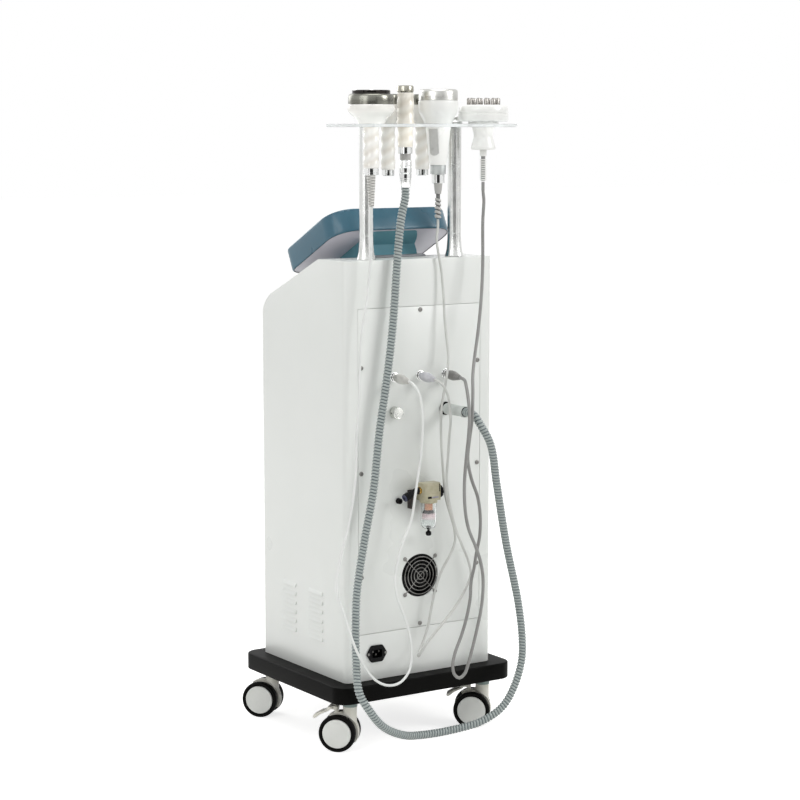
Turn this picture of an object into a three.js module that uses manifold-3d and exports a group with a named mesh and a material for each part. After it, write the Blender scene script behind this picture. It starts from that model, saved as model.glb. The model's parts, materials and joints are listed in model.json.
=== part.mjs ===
// Cavitation slimming machine on four castors, in millimetres, +Z up.
// The touch screen looks towards -Y and the service panel faces +Y.
// The origin is on the floor, under the middle of the machine without its cords.
import * as THREE from 'three';
import { mergeVertices } from 'three/addons/utils/BufferGeometryUtils.js';
import Module from 'manifold-3d';

const wasm = await Module();
wasm.setup();
const degrees = THREE.MathUtils.degToRad;

// Clearance between pieces that meet, and how far a cutter runs past the face it cuts
const gap = 0.3;
const overrun = 1;

// Facets of round pieces
const facetCounts = { screw: 6, small: 8, middle: 12, ring: 16, large: 18, wheel: 16 };

// Base tray
const tray = {
  halfWidth: 207, front: -211, depth: 380, groundClearance: 100, height: 33, cornerRadius: 30, edge: 3,
};

// Cabinet: a folded shell whose top slopes down to the front
const cabinet = {
  halfWidth: 172.5, frontSetback: 25, depth: 322, height: 819.7, wall: 2.5, cornerRadius: 12,
  flatTop: 97, noseRadius: 70,
};
const slopeAngle = degrees(23);

// Louvres: pressed hoods over slots, in two columns on each side, set back from the rear
const louvre = { length: 51.3, pitch: 18.36, slot: 7, hoodDepth: 3.5, sheet: 1.2, rise: 166 };
const louvreSetbacks = { back: 84.9, front: 186.1 };
const louvreRowCount = 6;

// Service panel, let into the rear wall above the cabinet's foot and screwed to a flange behind it
// What stands on it rises from its lower edge
const panel = { halfWidth: 143, rise: 92.7, height: 635, lip: 12, seam: 8 };
const screw = { diameter: 9, height: 2.6, crown: 5, edge: 1 };
const screwInset = 6.5;
const screwRowShares = [0.178, 0.499, 0.822];

// Cooling fan behind the panel and its wire guard outside
const fan = {
  size: 80, depth: 25, bore: 76, holePitch: 71.5, rise: 103, corner: 4, hub: 31, plate: 4, strut: 5,
};
const blade = { chord: 19, thickness: 1.6, camber: 1.6, tipGap: 1.6, root: 2 };
const bladeAngle = degrees(35);
const bladeCount = 7;
const guard = { wire: 1.7, firstRing: 16, ringStep: 11.8, eye: 9, bite: 0.4, screwHeight: 3.2 };
const guardRingCount = 6;

// Round sockets on the panel and the plugs in them; their row rises from the knob and hose socket below
const socket = {
  rise: 69, pitch: 60, barrel: 15, depth: 15, flange: 20, flangeHeight: 2.8, nose: 17, noseHeight: 6,
};
const plug = { start: 7.2, length: 42.8, diameter: 19 };
const plugShares = [[0.88, 0], [0.97, 0.12], [1, 0.42], [0.8, 0.74], [0.5, 0.9], [0.43, 1]];
const plugDroop = degrees(4.6);

// Vacuum knob, hose socket with its cuff, and tube port
const knob = { x: 60, rise: 431, diameter: 24, length: 21, spindle: 6, depth: 12, chamfer: 1.5 };
const setScrew = { diameter: 3, depth: 4, rise: 6 };
const hoseSocket = { x: -59, rise: 431, barrel: 18, depth: 15, flange: 26, flangeHeight: 4, nose: 20 };
const cuff = { start: 6.3, length: 63.7, diameter: 22 };
const cuffShares = [[0.9, 0], [1, 0.06], [1, 0.2], [0.91, 0.86], [1.02, 0.88], [1.02, 1]];
const tubePort = { x: 51.6, rise: 256.6, barrel: 9, depth: 8, stub: 12, length: 12 };

// Mains inlet in the rear wall under the panel
const inlet = {
  x: 102.7, rise: 51.9, flangeWidth: 48, flangeHeight: 33.5, flatWidth: 26, flange: 3,
  body: 27, bodyHeight: 20, depth: 20, pocket: 23, pocketHeight: 16, pocketDepth: 16,
};
const pin = { width: 4, height: 2, length: 12, pitch: 7, drop: 2.5 };
const inletScrew = { diameter: 5, height: 1, pitch: 39 };

// Air filter, carried off the panel by a bracket
const filter = {
  halfWidth: 19.5, depth: 28, offPanel: 30, rise: 253, height: 40, collar: 35, collarHeight: 9, edge: 5,
  footEdge: 1,
};
const bowl = { diameter: 30, wall: 2, height: 52, drainHole: 6 };
const element = { diameter: 16, height: 14, baffle: 24, baffleHeight: 6, tip: 6, tipHeight: 4 };
const drain = { diameter: 11, height: 13, stem: 5, stemHeight: 5 };
const sidePlug = { diameter: 25, length: 8.7, hexHole: 9, hexDepth: 3, height: 20 };
const elbow = {
  port: 16, portLength: 9, tube: 14, reach: 37, drop: 11, collar: 17, collarLength: 7, height: 25,
  tail: 4,
};
const bracket = { left: -16, right: 30, drop: 13, height: 36, sheet: 3, spacer: 22, spacerRise: 23 };

// Vacuum pump and power supply on the cabinet floor
const pump = {
  x: -70, y: -60, baseLength: 150, baseWidth: 90, base: 4, motor: 62, motorLength: 80, head: 52,
  headWidth: 70, headHeight: 78, fin: 3, finGap: 4,
};
const pumpFinCount = 4;
const supply = { x: 85, y: -60, width: 100, length: 150, height: 50, lid: 2, lidInset: 4, edge: 3 };

// Castors: the pivots sit inside the tray's corners and the twin wheels trail behind them
const castor = { sideInset: 48.7, rearInset: 33.5, frontInset: 45.8, trail: 25 };
const wheel = { radius: 37.5, halfWidth: 26.5, disc: 57, tread: 15, shoulder: 3.5, dish: 1.5, axle: 10 };
const hood = { thickness: 3.2, halfWidth: 20, web: 5.5, rise: 14, skirt: 27, clearance: 0.9, wheelGap: 0.7 };
const neck = { diameter: 31, collar: 39, collarHeight: 8, rise: 20, fillet: 4 };
const pedal = {
  x: 31, rise: 47, eye: 10, pin: 4, cheek: 3, plate: 4, plateRise: 6.5, back: 7, length: 41, halfWidth: 13,
  rib: 1.2, ribWidth: 2.5, ribPitch: 5, toe: 3.5,
};
const pedalRibCount = 3;

// Console slab, its neck on the cabinet, and the screen in its face
// Its lower rear edge is set back from the cabinet's rear and rises over its top
const consoleBox = {
  halfWidth: 141, length: 214, thickness: 47, setback: 72.2, rise: 53, rearRadius: 50,
  frontRadius: 30, edge: 7,
};
const consoleTilt = degrees(25);
const screen = { halfWidth: 120, length: 186, thickness: 5, recess: 1, cornerRadius: 6 };
const consoleNeck = {
  halfWidth: 58, footInset: 20.8, topInset: 31.8, frontInset: 39, cornerRadius: 19,
  flange: 3, flangeMargin: 8, flangeRear: 29, flangeFront: 9, flangeRadius: 22,
};

// Posts and the clear plate that holds the handpieces
const post = {
  x: 103, setback: 33, diameter: 27, foot: 38, footHeight: 45, stud: 10, cap: 32, capHeight: 14.5, waist: 30,
};
const plate = {
  halfWidth: 170, frontReach: 44, depth: 167.5, rise: 253, thickness: 6, cornerRadius: 12, holeGap: 1.5,
};

// Handpieces: each hangs in a hole of the plate by the shoulder above it
// A table of shares gives diameters and heights of a turned outline from its lower end
const cableRelief = { top: 17.5, bottom: 11.6 };
const largeHead = {
  x: 129, inset: 103, bowl: 88, bowlHeight: 35.7, ring: 88, ringHeight: 19.6, cap: 72, capHeight: 7.1,
  handle: 31, handleLength: 83, ferrule: 28, ferruleLength: 13, reliefLength: 59, lip: 6,
};
const largeBowlShares = [[0.59, 0], [0.6, 0.08], [0.76, 0.36], [1, 0.66], [1, 1]];
const largeHandleShares = [[0.92, 0], [1, 0.1], [0.92, 0.38], [0.99, 0.7], [1, 1]];
const mediumHead = {
  x: 40, inset: 24.5, head: 40, headHeight: 37, cap: 40, capHeight: 20, handle: 28.4, handleLength: 88,
  ferrule: 25, ferruleLength: 12,
};
const mediumShares = [[0.9, 0], [1, 0.08], [0.93, 0.4], [1, 0.75], [1, 1]];
const smallHead = {
  x: 38, inset: 82, tip: 32, tipHeight: 13, body: 33, bodyHeight: 58.7, lower: 30.5, lowerLength: 44,
  ring: 27.7, ringLength: 12.7, coupling: 25, couplingLength: 64,
};
const smallUpperShares = [[1.09, 0], [1.07, 0.08], [0.96, 0.3], [1, 0.6], [0.95, 1]];
const smallLowerShares = [[0.93, 0], [1, 0.2], [0.95, 0.55], [1, 0.85], [1, 1]];
const couplingShares = [[0.76, 0], [0.8, 0.3], [1, 0.5], [1, 0.78], [0.8, 0.82], [0.92, 1]];
const cavitationHead = {
  x: -37, inset: 83.5, cap: 74.6, capHeight: 22, head: 77, headHeight: 44, handle: 48, handleFoot: 29.5,
  handleLength: 96, ferrule: 25.4, ferruleLength: 18, reliefLength: 68, flat: 2, flatRise: 35, flatHeight: 52,
};
const cavitationShares = [[0.74, 0], [0.75, 0.06], [0.97, 0.66], [1, 1]];
const multipolarHead = {
  x: -129, inset: 104.5, disc: 98, discHeight: 36.5, pins: 13.2, pinDiameter: 7, pinCircle: 60, groove: 2,
  cup: 51, cupLength: 50.3, reliefLength: 60, seat: 4,
};
const multipolarPinCount = 12;
const multipolarCupShares = [[0.88, 0], [0.93, 0.08], [0.8, 0.35], [0.74, 0.52], [0.84, 0.8], [1, 1]];
const reliefShares = [[0.72, 0], [0.72, 0.2], [0.84, 0.24], [0.84, 0.5], [0.94, 0.54], [0.94, 0.8], [1, 1]];

// Cords, each from its handpiece to its socket, as points in the real place
const hose = { diameter: 16, valley: 13.2, bore: 9, straight: 16, boreSag: 0.8 };
const hoseRibCount = 62;
const hoseSideCount = 8;
const hoseRoute = [
  [38, 141, 1090.7], [38, 141, 1074.7], [52, 147, 1030], [64, 153, 957], [76, 157, 843], [86, 159, 770],
  [98, 160, 697], [111, 161, 624], [126, 163, 513], [149, 166, 416], [170, 172, 320], [178, 180, 250],
  [183, 189, 201], [190, 211, 136], [173, 221, 100], [140, 217, 63], [82, 201, 33], [37, 193, 24],
  [-33, 197, 24], [-95, 215, 37], [-139, 223, 61], [-170, 221, 98], [-191, 217, 147], [-194, 215, 187],
  [-186, 213, 259], [-146, 223, 394], [-110, 241, 514], [-85, 253, 599], [-65, 247, 637], [-60, 236, 652],
  [-59, 222, 657], [-59, 206.3, 657],
];
const cableSideCount = 8;
const largeCable = { diameter: 5 };
const largeCableRoute = [
  [129, 162, 1055.7], [129, 162, 1040], [130, 161, 957], [139, 159, 873], [148, 157, 818], [155, 156, 676],
  [159, 156, 627], [163, 157, 541], [176, 159, 467], [195, 162, 408], [210, 166, 359], [214, 172, 325],
  [211, 177, 306], [207, 184, 287], [202, 201, 246], [191, 209, 211], [166, 211, 168], [141, 209, 147],
  [116, 206, 138], [90, 203, 140], [68, 199, 157], [60, 196, 182], [60, 193, 217], [67, 191, 249],
  [78, 189, 279], [87, 187, 304], [91, 185, 337], [85, 185, 375], [72, 187, 416], [57, 191, 455],
  [52, 197, 503], [48, 199, 535], [42, 202, 585], [41, 206, 636], [43, 208, 660], [47.5, 210, 685],
  [52, 210, 700], [56.5, 206, 712], [59.5, 198, 719.5], [60, 191, 721.6], [60, 186.3, 722],
];
const cavitationCable = { diameter: 5 };
const cavitationCableRoute = [
  [-37, 142.5, 1028.4], [-37, 142.5, 1014], [-34, 143, 988], [-43, 145, 930], [-46, 149, 880],
  [-46, 153, 837], [-48, 158, 792], [-47, 164, 761], [-43, 168, 738], [-36, 170, 706],
  [-29, 170, 674], [-27, 169, 644],
  [-29, 167, 601], [-34, 165, 549], [-43, 163, 484], [-56, 162, 445], [-65, 161, 418], [-67, 160, 392],
  [-56, 159, 367], [-38, 158, 339], [-22, 157, 299], [-14, 157, 269], [-5, 158, 232], [6, 161, 208],
  [19, 167, 190], [31, 177, 181], [37, 188, 182], [35, 196, 193], [27, 200, 208], [12, 203, 225],
  [-9, 203, 244], [-32, 202, 265], [-55, 200, 290], [-74, 198, 318], [-80, 197, 333], [-76, 195, 356],
  [-62, 193, 390], [-48, 191, 424], [-40, 190, 451], [-31, 189, 489], [-27, 189, 527], [-30, 190, 577],
  [-31, 191, 604], [-33, 193, 641], [-28, 197, 668], [-20, 202, 692], [-11, 202, 709], [-4, 198, 718],
  [-0.3, 191, 721.6], [0, 186.3, 722],
];
const multipolarCable = { diameter: 6.4 };
const multipolarCableRoute = [
  [-129, 163.5, 1100], [-129, 163.5, 1082], [-130, 165, 1064], [-127, 166, 1023], [-123, 172, 943],
  [-115, 179, 878], [-100, 190, 813], [-82, 204, 764], [-67, 219, 729], [-56, 235, 694], [-45, 248, 647],
  [-40, 247, 610], [-41, 240, 571], [-56, 231, 530], [-77, 223, 490], [-87, 218, 450], [-88, 215, 411],
  [-82, 213, 379], [-77, 212, 348], [-71, 211, 323], [-69, 210, 285], [-61, 209, 248], [-50, 208, 215],
  [-36, 208, 185], [-28, 210, 158], [-31, 212, 140], [-40, 215, 132.5], [-50, 219, 140], [-57, 221.5, 160],
  [-65, 224, 190], [-74, 226, 226], [-84, 228, 274], [-86, 230, 325], [-78, 232, 364], [-64, 234, 397],
  [-46, 237, 432], [-34, 242, 471], [-27, 249, 523], [-27, 256, 582], [-30, 258, 620], [-35, 254, 655],
  [-42, 240, 684], [-52, 219, 707], [-59, 203, 718.5], [-60, 191.5, 721.6],
  [-60, 186.3, 722],
];

// Finishes
const finish = (color, roughness, metalness) => (
  new THREE.MeshStandardMaterial({ color, roughness, metalness }));
const finishes = {
  whiteEnamel: finish(0xe0e3df, 0.3, 0.05),
  blackPlastic: finish(0x161716, 0.35, 0),
  blueGloss: finish(0x5b7a8a, 0.15, 0),
  screenGlass: finish(0x11161c, 0.08, 0),
  clearAcrylic: finish(0xe6efee, 0.05, 0),
  polishedMetal: finish(0xc8cac8, 0.15, 1),
  brushedMetal: finish(0xb4b4ac, 0.35, 1),
  darkMetal: finish(0x4c4b46, 0.3, 1),
  pearlPlastic: finish(0xe1dcd2, 0.3, 0),
  ivoryPlastic: finish(0xe1e1d7, 0.45, 0),
  tyre: finish(0x1a1a1a, 0.7, 0),
  beigePlastic: finish(0xb4af96, 0.5, 0),
  bronze: finish(0xa9714b, 0.7, 0.4),
  greyPlastic: finish(0xb4b4b8, 0.5, 0),
  hoseGrey: finish(0x8c9b9b, 0.55, 0),
  cableWhite: finish(0xe4e6e4, 0.5, 0),
  cableGrey: finish(0xb9bcbc, 0.5, 0),
  steel: finish(0x9a9c9c, 0.4, 1),
};

// Planes that pieces share
const trayRear = tray.front + tray.depth;
const trayTop = tray.groundClearance + tray.height;
const cabinetFront = tray.front + cabinet.frontSetback;
const cabinetRear = cabinetFront + cabinet.depth;
const cabinetFoot = trayTop + gap;
const cabinetTop = cabinetFoot + cabinet.height;
const slopeStart = cabinetRear - cabinet.flatTop;
const panelBottom = cabinetFoot + panel.rise;
const panelTop = panelBottom + panel.height;
const panelBack = cabinetRear - cabinet.wall + gap;
const fanHeight = panelBottom + fan.rise;
const socketHeight = panelBottom + Math.max(knob.rise, hoseSocket.rise) + socket.rise;
const filterBottom = panelBottom + filter.rise;
const inletHeight = cabinetFoot + inlet.rise;
const consoleRear = cabinetRear - consoleBox.setback;
const consoleHeight = cabinetTop + consoleBox.rise;
const postY = cabinetRear - post.setback;
const plateFront = postY - plate.frontReach;
const plateBottom = cabinetTop + plate.rise;
const plateTop = plateBottom + plate.thickness;
const handpieceSeat = plateTop + gap;
const axleHeight = wheel.radius * Math.cos(Math.PI / facetCounts.wheel);

const X = new THREE.Vector3(1, 0, 0);
const Y = new THREE.Vector3(0, 1, 0);
const Z = new THREE.Vector3(0, 0, 1);
const alongX = new THREE.Matrix4().makeBasis(Y, Z, X);
const alongY = new THREE.Matrix4().makeBasis(X, Z, Y.clone().negate());

// Merged corners, with the slivers at turning axes taken out
function closed(geometry) {
  const bare = new THREE.BufferGeometry();
  bare.setAttribute('position', geometry.getAttribute('position').clone());
  bare.setIndex(geometry.getIndex());
  const merged = mergeVertices(bare);
  const corners = merged.getIndex().array;
  const kept = [];
  for (let i = 0; i < corners.length; i += 3) {
    const [a, b, c] = corners.slice(i, i + 3);
    if (a !== b && b !== c && c !== a) kept.push(a, b, c);
  }
  merged.setIndex(kept);
  return merged;
}

function solid(geometry) {
  if (!geometry.isBufferGeometry) return geometry;
  const merged = closed(geometry);
  return new wasm.Manifold(new wasm.Mesh({
    numProp: 3,
    vertProperties: merged.getAttribute('position').array,
    triVerts: new Uint32Array(merged.getIndex().array),
  }));
}

const join = (first, ...others) => others.reduce((sum, next) => sum.add(solid(next)), solid(first));
const cut = (first, ...others) => others.reduce((rest, next) => rest.subtract(solid(next)), solid(first));
const common = (first, second) => solid(first).intersect(solid(second));

function part(name, form, material) {
  let geometry = form;
  if (!form.isBufferGeometry) {
    const mesh = form.getMesh();
    geometry = new THREE.BufferGeometry();
    geometry.setAttribute('position', new THREE.BufferAttribute(mesh.vertProperties, 3));
    geometry.setIndex(new THREE.BufferAttribute(mesh.triVerts, 1));
  }
  const body = new THREE.Mesh(closed(geometry), material);
  body.name = name;
  return body;
}

function block([x0, y0, z0], [x1, y1, z1]) {
  const geometry = new THREE.BoxGeometry(x1 - x0, y1 - y0, z1 - z0);
  return geometry.translate((x0 + x1) / 2, (y0 + y1) / 2, (z0 + z1) / 2);
}

// A rectangle with its own radius at the lower and the upper pair of corners
function roundedOutline(x0, x1, y0, y1, lower, upper = lower) {
  const shape = new THREE.Shape();
  shape.absarc(x1 - lower, y0 + lower, lower, -Math.PI / 2, 0);
  shape.absarc(x1 - upper, y1 - upper, upper, 0, Math.PI / 2);
  shape.absarc(x0 + upper, y1 - upper, upper, Math.PI / 2, Math.PI);
  shape.absarc(x0 + lower, y0 + lower, lower, Math.PI, 1.5 * Math.PI);
  return shape;
}

const polygon = (points) => new THREE.Shape(points.map(([x, y]) => new THREE.Vector2(x, y)));

function prismZ(shape, z0, z1, arcSteps = 2) {
  const options = { depth: z1 - z0, bevelEnabled: false, curveSegments: arcSteps };
  return new THREE.ExtrudeGeometry(shape, options).translate(0, 0, z0);
}

// The outline is drawn in Y and Z
const prismX = (shape, x0, x1, arcSteps) => prismZ(shape, x0, x1, arcSteps).applyMatrix4(alongX);

// The outline is drawn in X and Z
const prismY = (shape, y0, y1, arcSteps) => prismZ(shape, -y1, -y0, arcSteps).applyMatrix4(alongY);

// An outline of radii and heights, turned round Y
function turnedY(outline, count) {
  return new THREE.LatheGeometry(outline.map(([radius, height]) => new THREE.Vector2(radius, height)), count);
}

const turnedZ = (outline, count) => turnedY(outline, count).rotateX(Math.PI / 2);
const turnedX = (outline, count) => turnedY(outline, count).rotateZ(-Math.PI / 2);

const rod = (diameter, from, to) => [[0, from], [diameter / 2, from], [diameter / 2, to], [0, to]];

// Diameter of a faceted bore that clears a round pin by the usual gap
const bore = (diameter, count) => (diameter + 2 * gap) / Math.cos(Math.PI / count);

// Shares of a diameter and a length as an outline of radii and heights
function outlined(shares, diameter, length, from) {
  return shares.map(([wide, high]) => [(wide * diameter) / 2, from + high * length]);
}

const capped = (outline) => [[0, outline[0][1]], ...outline, [0, outline[outline.length - 1][1]]];

// Base tray with a softened edge
function baseTray() {
  const shape = roundedOutline(-tray.halfWidth + tray.edge, tray.halfWidth - tray.edge,
    tray.front + tray.edge, trayRear - tray.edge, tray.cornerRadius - tray.edge);
  const slab = new THREE.ExtrudeGeometry(shape, {
    depth: tray.height - 2 * tray.edge, curveSegments: 3, bevelSize: tray.edge, bevelThickness: tray.edge,
    bevelSegments: 1,
  });
  return part('base_tray', slab.translate(0, 0, tray.groundClearance + tray.edge), finishes.blackPlastic);
}

// Height of the cabinet's outside over a place along Y, on its flat top and slope
function cabinetHeightAt(y) {
  return cabinetTop - Math.max(slopeStart - y, 0) * Math.tan(slopeAngle);
}

// The closed form of the cabinet, drawn in from its outside by an inset
function cabinetForm(inset) {
  const rear = cabinetRear - inset;
  const front = cabinetFront + inset;
  const breakY = slopeStart + inset * Math.tan(slopeAngle / 2);
  const noseY = cabinetFront + cabinet.noseRadius;
  const drop = (slopeStart - noseY) * Math.sin(slopeAngle) + cabinet.noseRadius;
  const noseZ = cabinetTop - drop / Math.cos(slopeAngle);
  const side = new THREE.Shape();
  side.moveTo(rear, cabinetFoot + inset);
  side.lineTo(rear, cabinetTop - inset);
  side.lineTo(breakY, cabinetTop - inset);
  side.absarc(noseY, noseZ, cabinet.noseRadius - inset, Math.PI / 2 + slopeAngle, Math.PI);
  side.lineTo(front, cabinetFoot + inset);
  const half = cabinet.halfWidth - inset;
  const plan = roundedOutline(-half, half, front, rear, cabinet.cornerRadius - inset);
  return common(prismX(side, -half, half, 3), prismZ(plan, cabinetFoot, cabinetTop, 2));
}

// One pressed hood with its slot below it, on the side that faces the given way
function louvreForms(side, rearEnd, level) {
  const face = cabinet.halfWidth;
  const inner = face - cabinet.wall / 2;
  const outer = face + louvre.hoodDepth;
  const bottom = level - louvre.slot;
  const frontEnd = rearEnd - louvre.length;
  const wedge = polygon([[inner, level + louvre.sheet], [inner, bottom], [outer, bottom]]);
  const hollow = polygon([[inner - overrun, level], [inner - overrun, bottom - overrun],
    [outer - louvre.sheet, bottom - overrun], [outer - louvre.sheet, bottom]]);
  const slot = block([face - cabinet.wall - overrun, frontEnd + louvre.sheet, bottom],
    [face + louvre.sheet, rearEnd - louvre.sheet, level - louvre.sheet]);
  const forms = [prismY(wedge, frontEnd, rearEnd), slot,
    prismY(hollow, frontEnd + louvre.sheet, rearEnd - louvre.sheet)];
  return side > 0 ? forms : forms.map((form) => form.rotateZ(Math.PI).translate(0, frontEnd + rearEnd, 0));
}

function cabinetShell() {
  const seamX = panel.halfWidth + gap;
  const seamBottom = panelBottom - gap;
  const seamTop = panelTop + gap;
  const flangeFront = cabinetRear - 2 * cabinet.wall;
  const flange = block([-seamX - panel.seam, flangeFront, seamBottom - panel.seam],
    [seamX + panel.seam, cabinetRear - cabinet.wall / 2, seamTop + panel.seam]);
  const pocket = block([-seamX, cabinetRear - cabinet.wall, seamBottom],
    [seamX, cabinetRear + overrun, seamTop]);
  const window = block([-panel.halfWidth + panel.lip, flangeFront - overrun, panelBottom + panel.lip],
    [panel.halfWidth - panel.lip, cabinetRear, panelTop - panel.lip]);
  const inletX = inlet.body / 2 + gap;
  const inletZ = inlet.bodyHeight / 2 + gap;
  const inletHole = block([inlet.x - inletX, flangeFront, inletHeight - inletZ],
    [inlet.x + inletX, cabinetRear + overrun, inletHeight + inletZ]);
  let shell = join(cut(cabinetForm(0), cabinetForm(cabinet.wall)), flange);
  shell = cut(shell, pocket, window, inletHole);
  for (const side of [-1, 1]) {
    for (const setback of Object.values(louvreSetbacks)) {
      const rearEnd = cabinetRear - setback;
      for (let row = 0; row < louvreRowCount; row += 1) {
        const level = cabinetFoot + louvre.rise - row * louvre.pitch;
        const [hoodForm, slot, hollow] = louvreForms(side, rearEnd, level);
        shell = join(shell, cut(hoodForm, hollow)).subtract(solid(slot));
      }
    }
  }
  return part('cabinet_shell', shell, finishes.whiteEnamel);
}

// Where the panel's screws sit, as X and Z
function screwPlaces() {
  const edge = panel.halfWidth - screwInset;
  const rows = screwRowShares.map((share) => panelBottom + share * panel.height);
  const sides = rows.flatMap((row) => [[-edge, row], [edge, row]]);
  return [[0, panelTop - screwInset], [0, panelBottom + screwInset], ...sides];
}

function servicePanel() {
  const hole = (diameter, x, z, count) => turnedY(rod(bore(diameter, count), panelBack - overrun,
    cabinetRear + overrun), count).translate(x, 0, z);
  const sockets = [-1, 0, 1].map((step) => hole(socket.barrel, step * socket.pitch, socketHeight,
    facetCounts.middle));
  const sheet = block([-panel.halfWidth, panelBack, panelBottom], [panel.halfWidth, cabinetRear, panelTop]);
  const head = [[0, -gap], [screw.diameter / 2, -gap], [screw.diameter / 2, screw.edge],
    [screw.crown / 2, screw.height], [0, screw.height]];
  const heads = screwPlaces().map(([x, z]) => turnedY(head, facetCounts.screw).translate(x, cabinetRear, z));
  const form = cut(sheet, ...sockets,
    hole(fan.bore, 0, fanHeight, facetCounts.large),
    hole(knob.spindle, knob.x, panelBottom + knob.rise, facetCounts.small),
    hole(hoseSocket.barrel, hoseSocket.x, panelBottom + hoseSocket.rise, facetCounts.middle),
    hole(tubePort.barrel, tubePort.x, panelBottom + tubePort.rise, facetCounts.small));
  return part('service_panel', join(form, ...heads), finishes.whiteEnamel);
}

// The fan's square frame, with the bearing plate and its struts at the inner end
function fanFrame() {
  const back = panelBack - gap;
  const front = back - fan.depth;
  const half = fan.size / 2;
  const frame = prismY(roundedOutline(-half, half, -half, half, fan.corner), front, back, 1);
  const through = turnedY(rod(fan.bore, front - overrun, back + overrun), facetCounts.large);
  const boss = turnedY(rod(fan.hub, front, front + fan.plate), facetCounts.middle);
  const strut = block([-fan.strut / 2, front, 0], [fan.strut / 2, front + fan.plate, half - overrun]);
  const turns = [1, 2, 3].map((step) => strut.clone().rotateY((step * 2 * Math.PI) / 3));
  const body = join(cut(frame, through), boss, ...turns);
  return part('fan_frame', body.translate([0, 0, fanHeight]), finishes.blackPlastic);
}

// Hub and cambered blades, set at an angle round the axle
function fanRotor() {
  const front = panelBack - gap - fan.depth + fan.plate + gap;
  const back = panelBack - 2 * blade.root;
  const middle = (front + back) / 2;
  const half = blade.chord / 2;
  const section = polygon([[-half, 0], [0, blade.camber], [half, 0], [half, blade.thickness],
    [0, blade.camber + blade.thickness], [-half, blade.thickness]]);
  const reach = Math.sqrt((fan.bore / 2 - blade.tipGap) ** 2 - half ** 2);
  const single = prismZ(section, fan.hub / 2 - blade.root, reach).rotateZ(bladeAngle);
  const blades = Array.from({ length: bladeCount }, (_, i) => single.clone()
    .rotateY((i * 2 * Math.PI) / bladeCount).translate(0, middle, 0));
  const rotor = join(turnedY(rod(fan.hub, front, back), facetCounts.middle), ...blades);
  return part('fan_rotor', rotor.translate([0, 0, fanHeight]), finishes.blackPlastic);
}

// Wire rings lying on four crossed arms, with a screw at each arm's eye
function fanGuard() {
  const seat = cabinetRear + gap;
  const wire = guard.wire;
  const ringSeat = seat + wire - guard.bite;
  const rings = Array.from({ length: guardRingCount }, (_, i) => {
    const radius = (guard.firstRing + i * guard.ringStep) / 2;
    return turnedY([[radius - wire / 2, ringSeat], [radius + wire / 2, ringSeat], [radius, ringSeat + wire],
      [radius - wire / 2, ringSeat]], facetCounts.ring);
  });
  const reach = fan.holePitch / Math.SQRT2;
  const arm = block([-reach, seat, -wire / 2], [reach, seat + wire, wire / 2]);
  const eye = turnedY(rod(guard.eye, seat, seat + guard.screwHeight), facetCounts.screw);
  const arms = [1, 3].map((step) => arm.clone().rotateY((step * Math.PI) / 4));
  const eyes = [1, 3, 5, 7].map((step) => eye.clone().translate(reach, 0, 0).rotateY((step * Math.PI) / 4));
  const body = join(arms[0], arms[1], ...rings, ...eyes);
  return part('fan_guard', body.translate([0, 0, fanHeight]), finishes.polishedMetal);
}

// A stepped barrel through the panel with its flange outside
function panelFitting(name, size, nose, material) {
  const seat = cabinetRear + gap;
  const flange = cabinetRear + size.flangeHeight;
  const outline = [[0, cabinetRear - size.depth], [size.barrel / 2, cabinetRear - size.depth],
    [size.barrel / 2, seat], [size.flange / 2, seat], [size.flange / 2, flange], [nose.diameter / 2, flange],
    [nose.diameter / 2, cabinetRear + nose.height], [0, cabinetRear + nose.height]];
  return part(name, turnedY(outline, facetCounts.small), material);
}

function socketRow() {
  const sides = { socket_left: 1, socket_middle: 0, socket_right: -1 };
  return Object.entries(sides).map(([name, step]) => {
    const nose = { diameter: socket.nose, height: socket.noseHeight };
    const body = panelFitting(name, socket, nose, finishes.polishedMetal);
    body.position.set(step * socket.pitch, 0, socketHeight);
    return body;
  });
}

function plugRow() {
  const sides = { plug_left: 1, plug_middle: 0, plug_right: -1 };
  return Object.entries(sides).map(([name, step]) => {
    const outline = capped(outlined(plugShares, plug.diameter, plug.length, plug.start));
    const body = part(name, turnedY(outline, facetCounts.small), finishes.greyPlastic);
    body.position.set(step * socket.pitch, cabinetRear, socketHeight);
    body.rotation.x = -plugDroop;
    return body;
  });
}

function hoseFittings() {
  const nose = { diameter: hoseSocket.nose, height: cuff.start - gap };
  const inner = panelFitting('hose_socket', hoseSocket, nose, finishes.blackPlastic);
  const outline = capped(outlined(cuffShares, cuff.diameter, cuff.length, cuff.start));
  const outer = part('hose_cuff', turnedY(outline, facetCounts.middle), finishes.greyPlastic);
  inner.position.set(hoseSocket.x, 0, panelBottom + hoseSocket.rise);
  outer.position.set(hoseSocket.x, cabinetRear, panelBottom + hoseSocket.rise);
  return [inner, outer];
}

function tubePortBody() {
  const seat = cabinetRear + gap;
  const outline = [[0, cabinetRear - tubePort.depth], [tubePort.barrel / 2, cabinetRear - tubePort.depth],
    [tubePort.barrel / 2, seat], [tubePort.stub / 2, seat],
    [tubePort.stub / 2, cabinetRear + tubePort.length],
    [0, cabinetRear + tubePort.length]];
  const body = part('tube_port', turnedY(outline, facetCounts.small), finishes.blackPlastic);
  body.position.set(tubePort.x, 0, panelBottom + tubePort.rise);
  return body;
}

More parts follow.
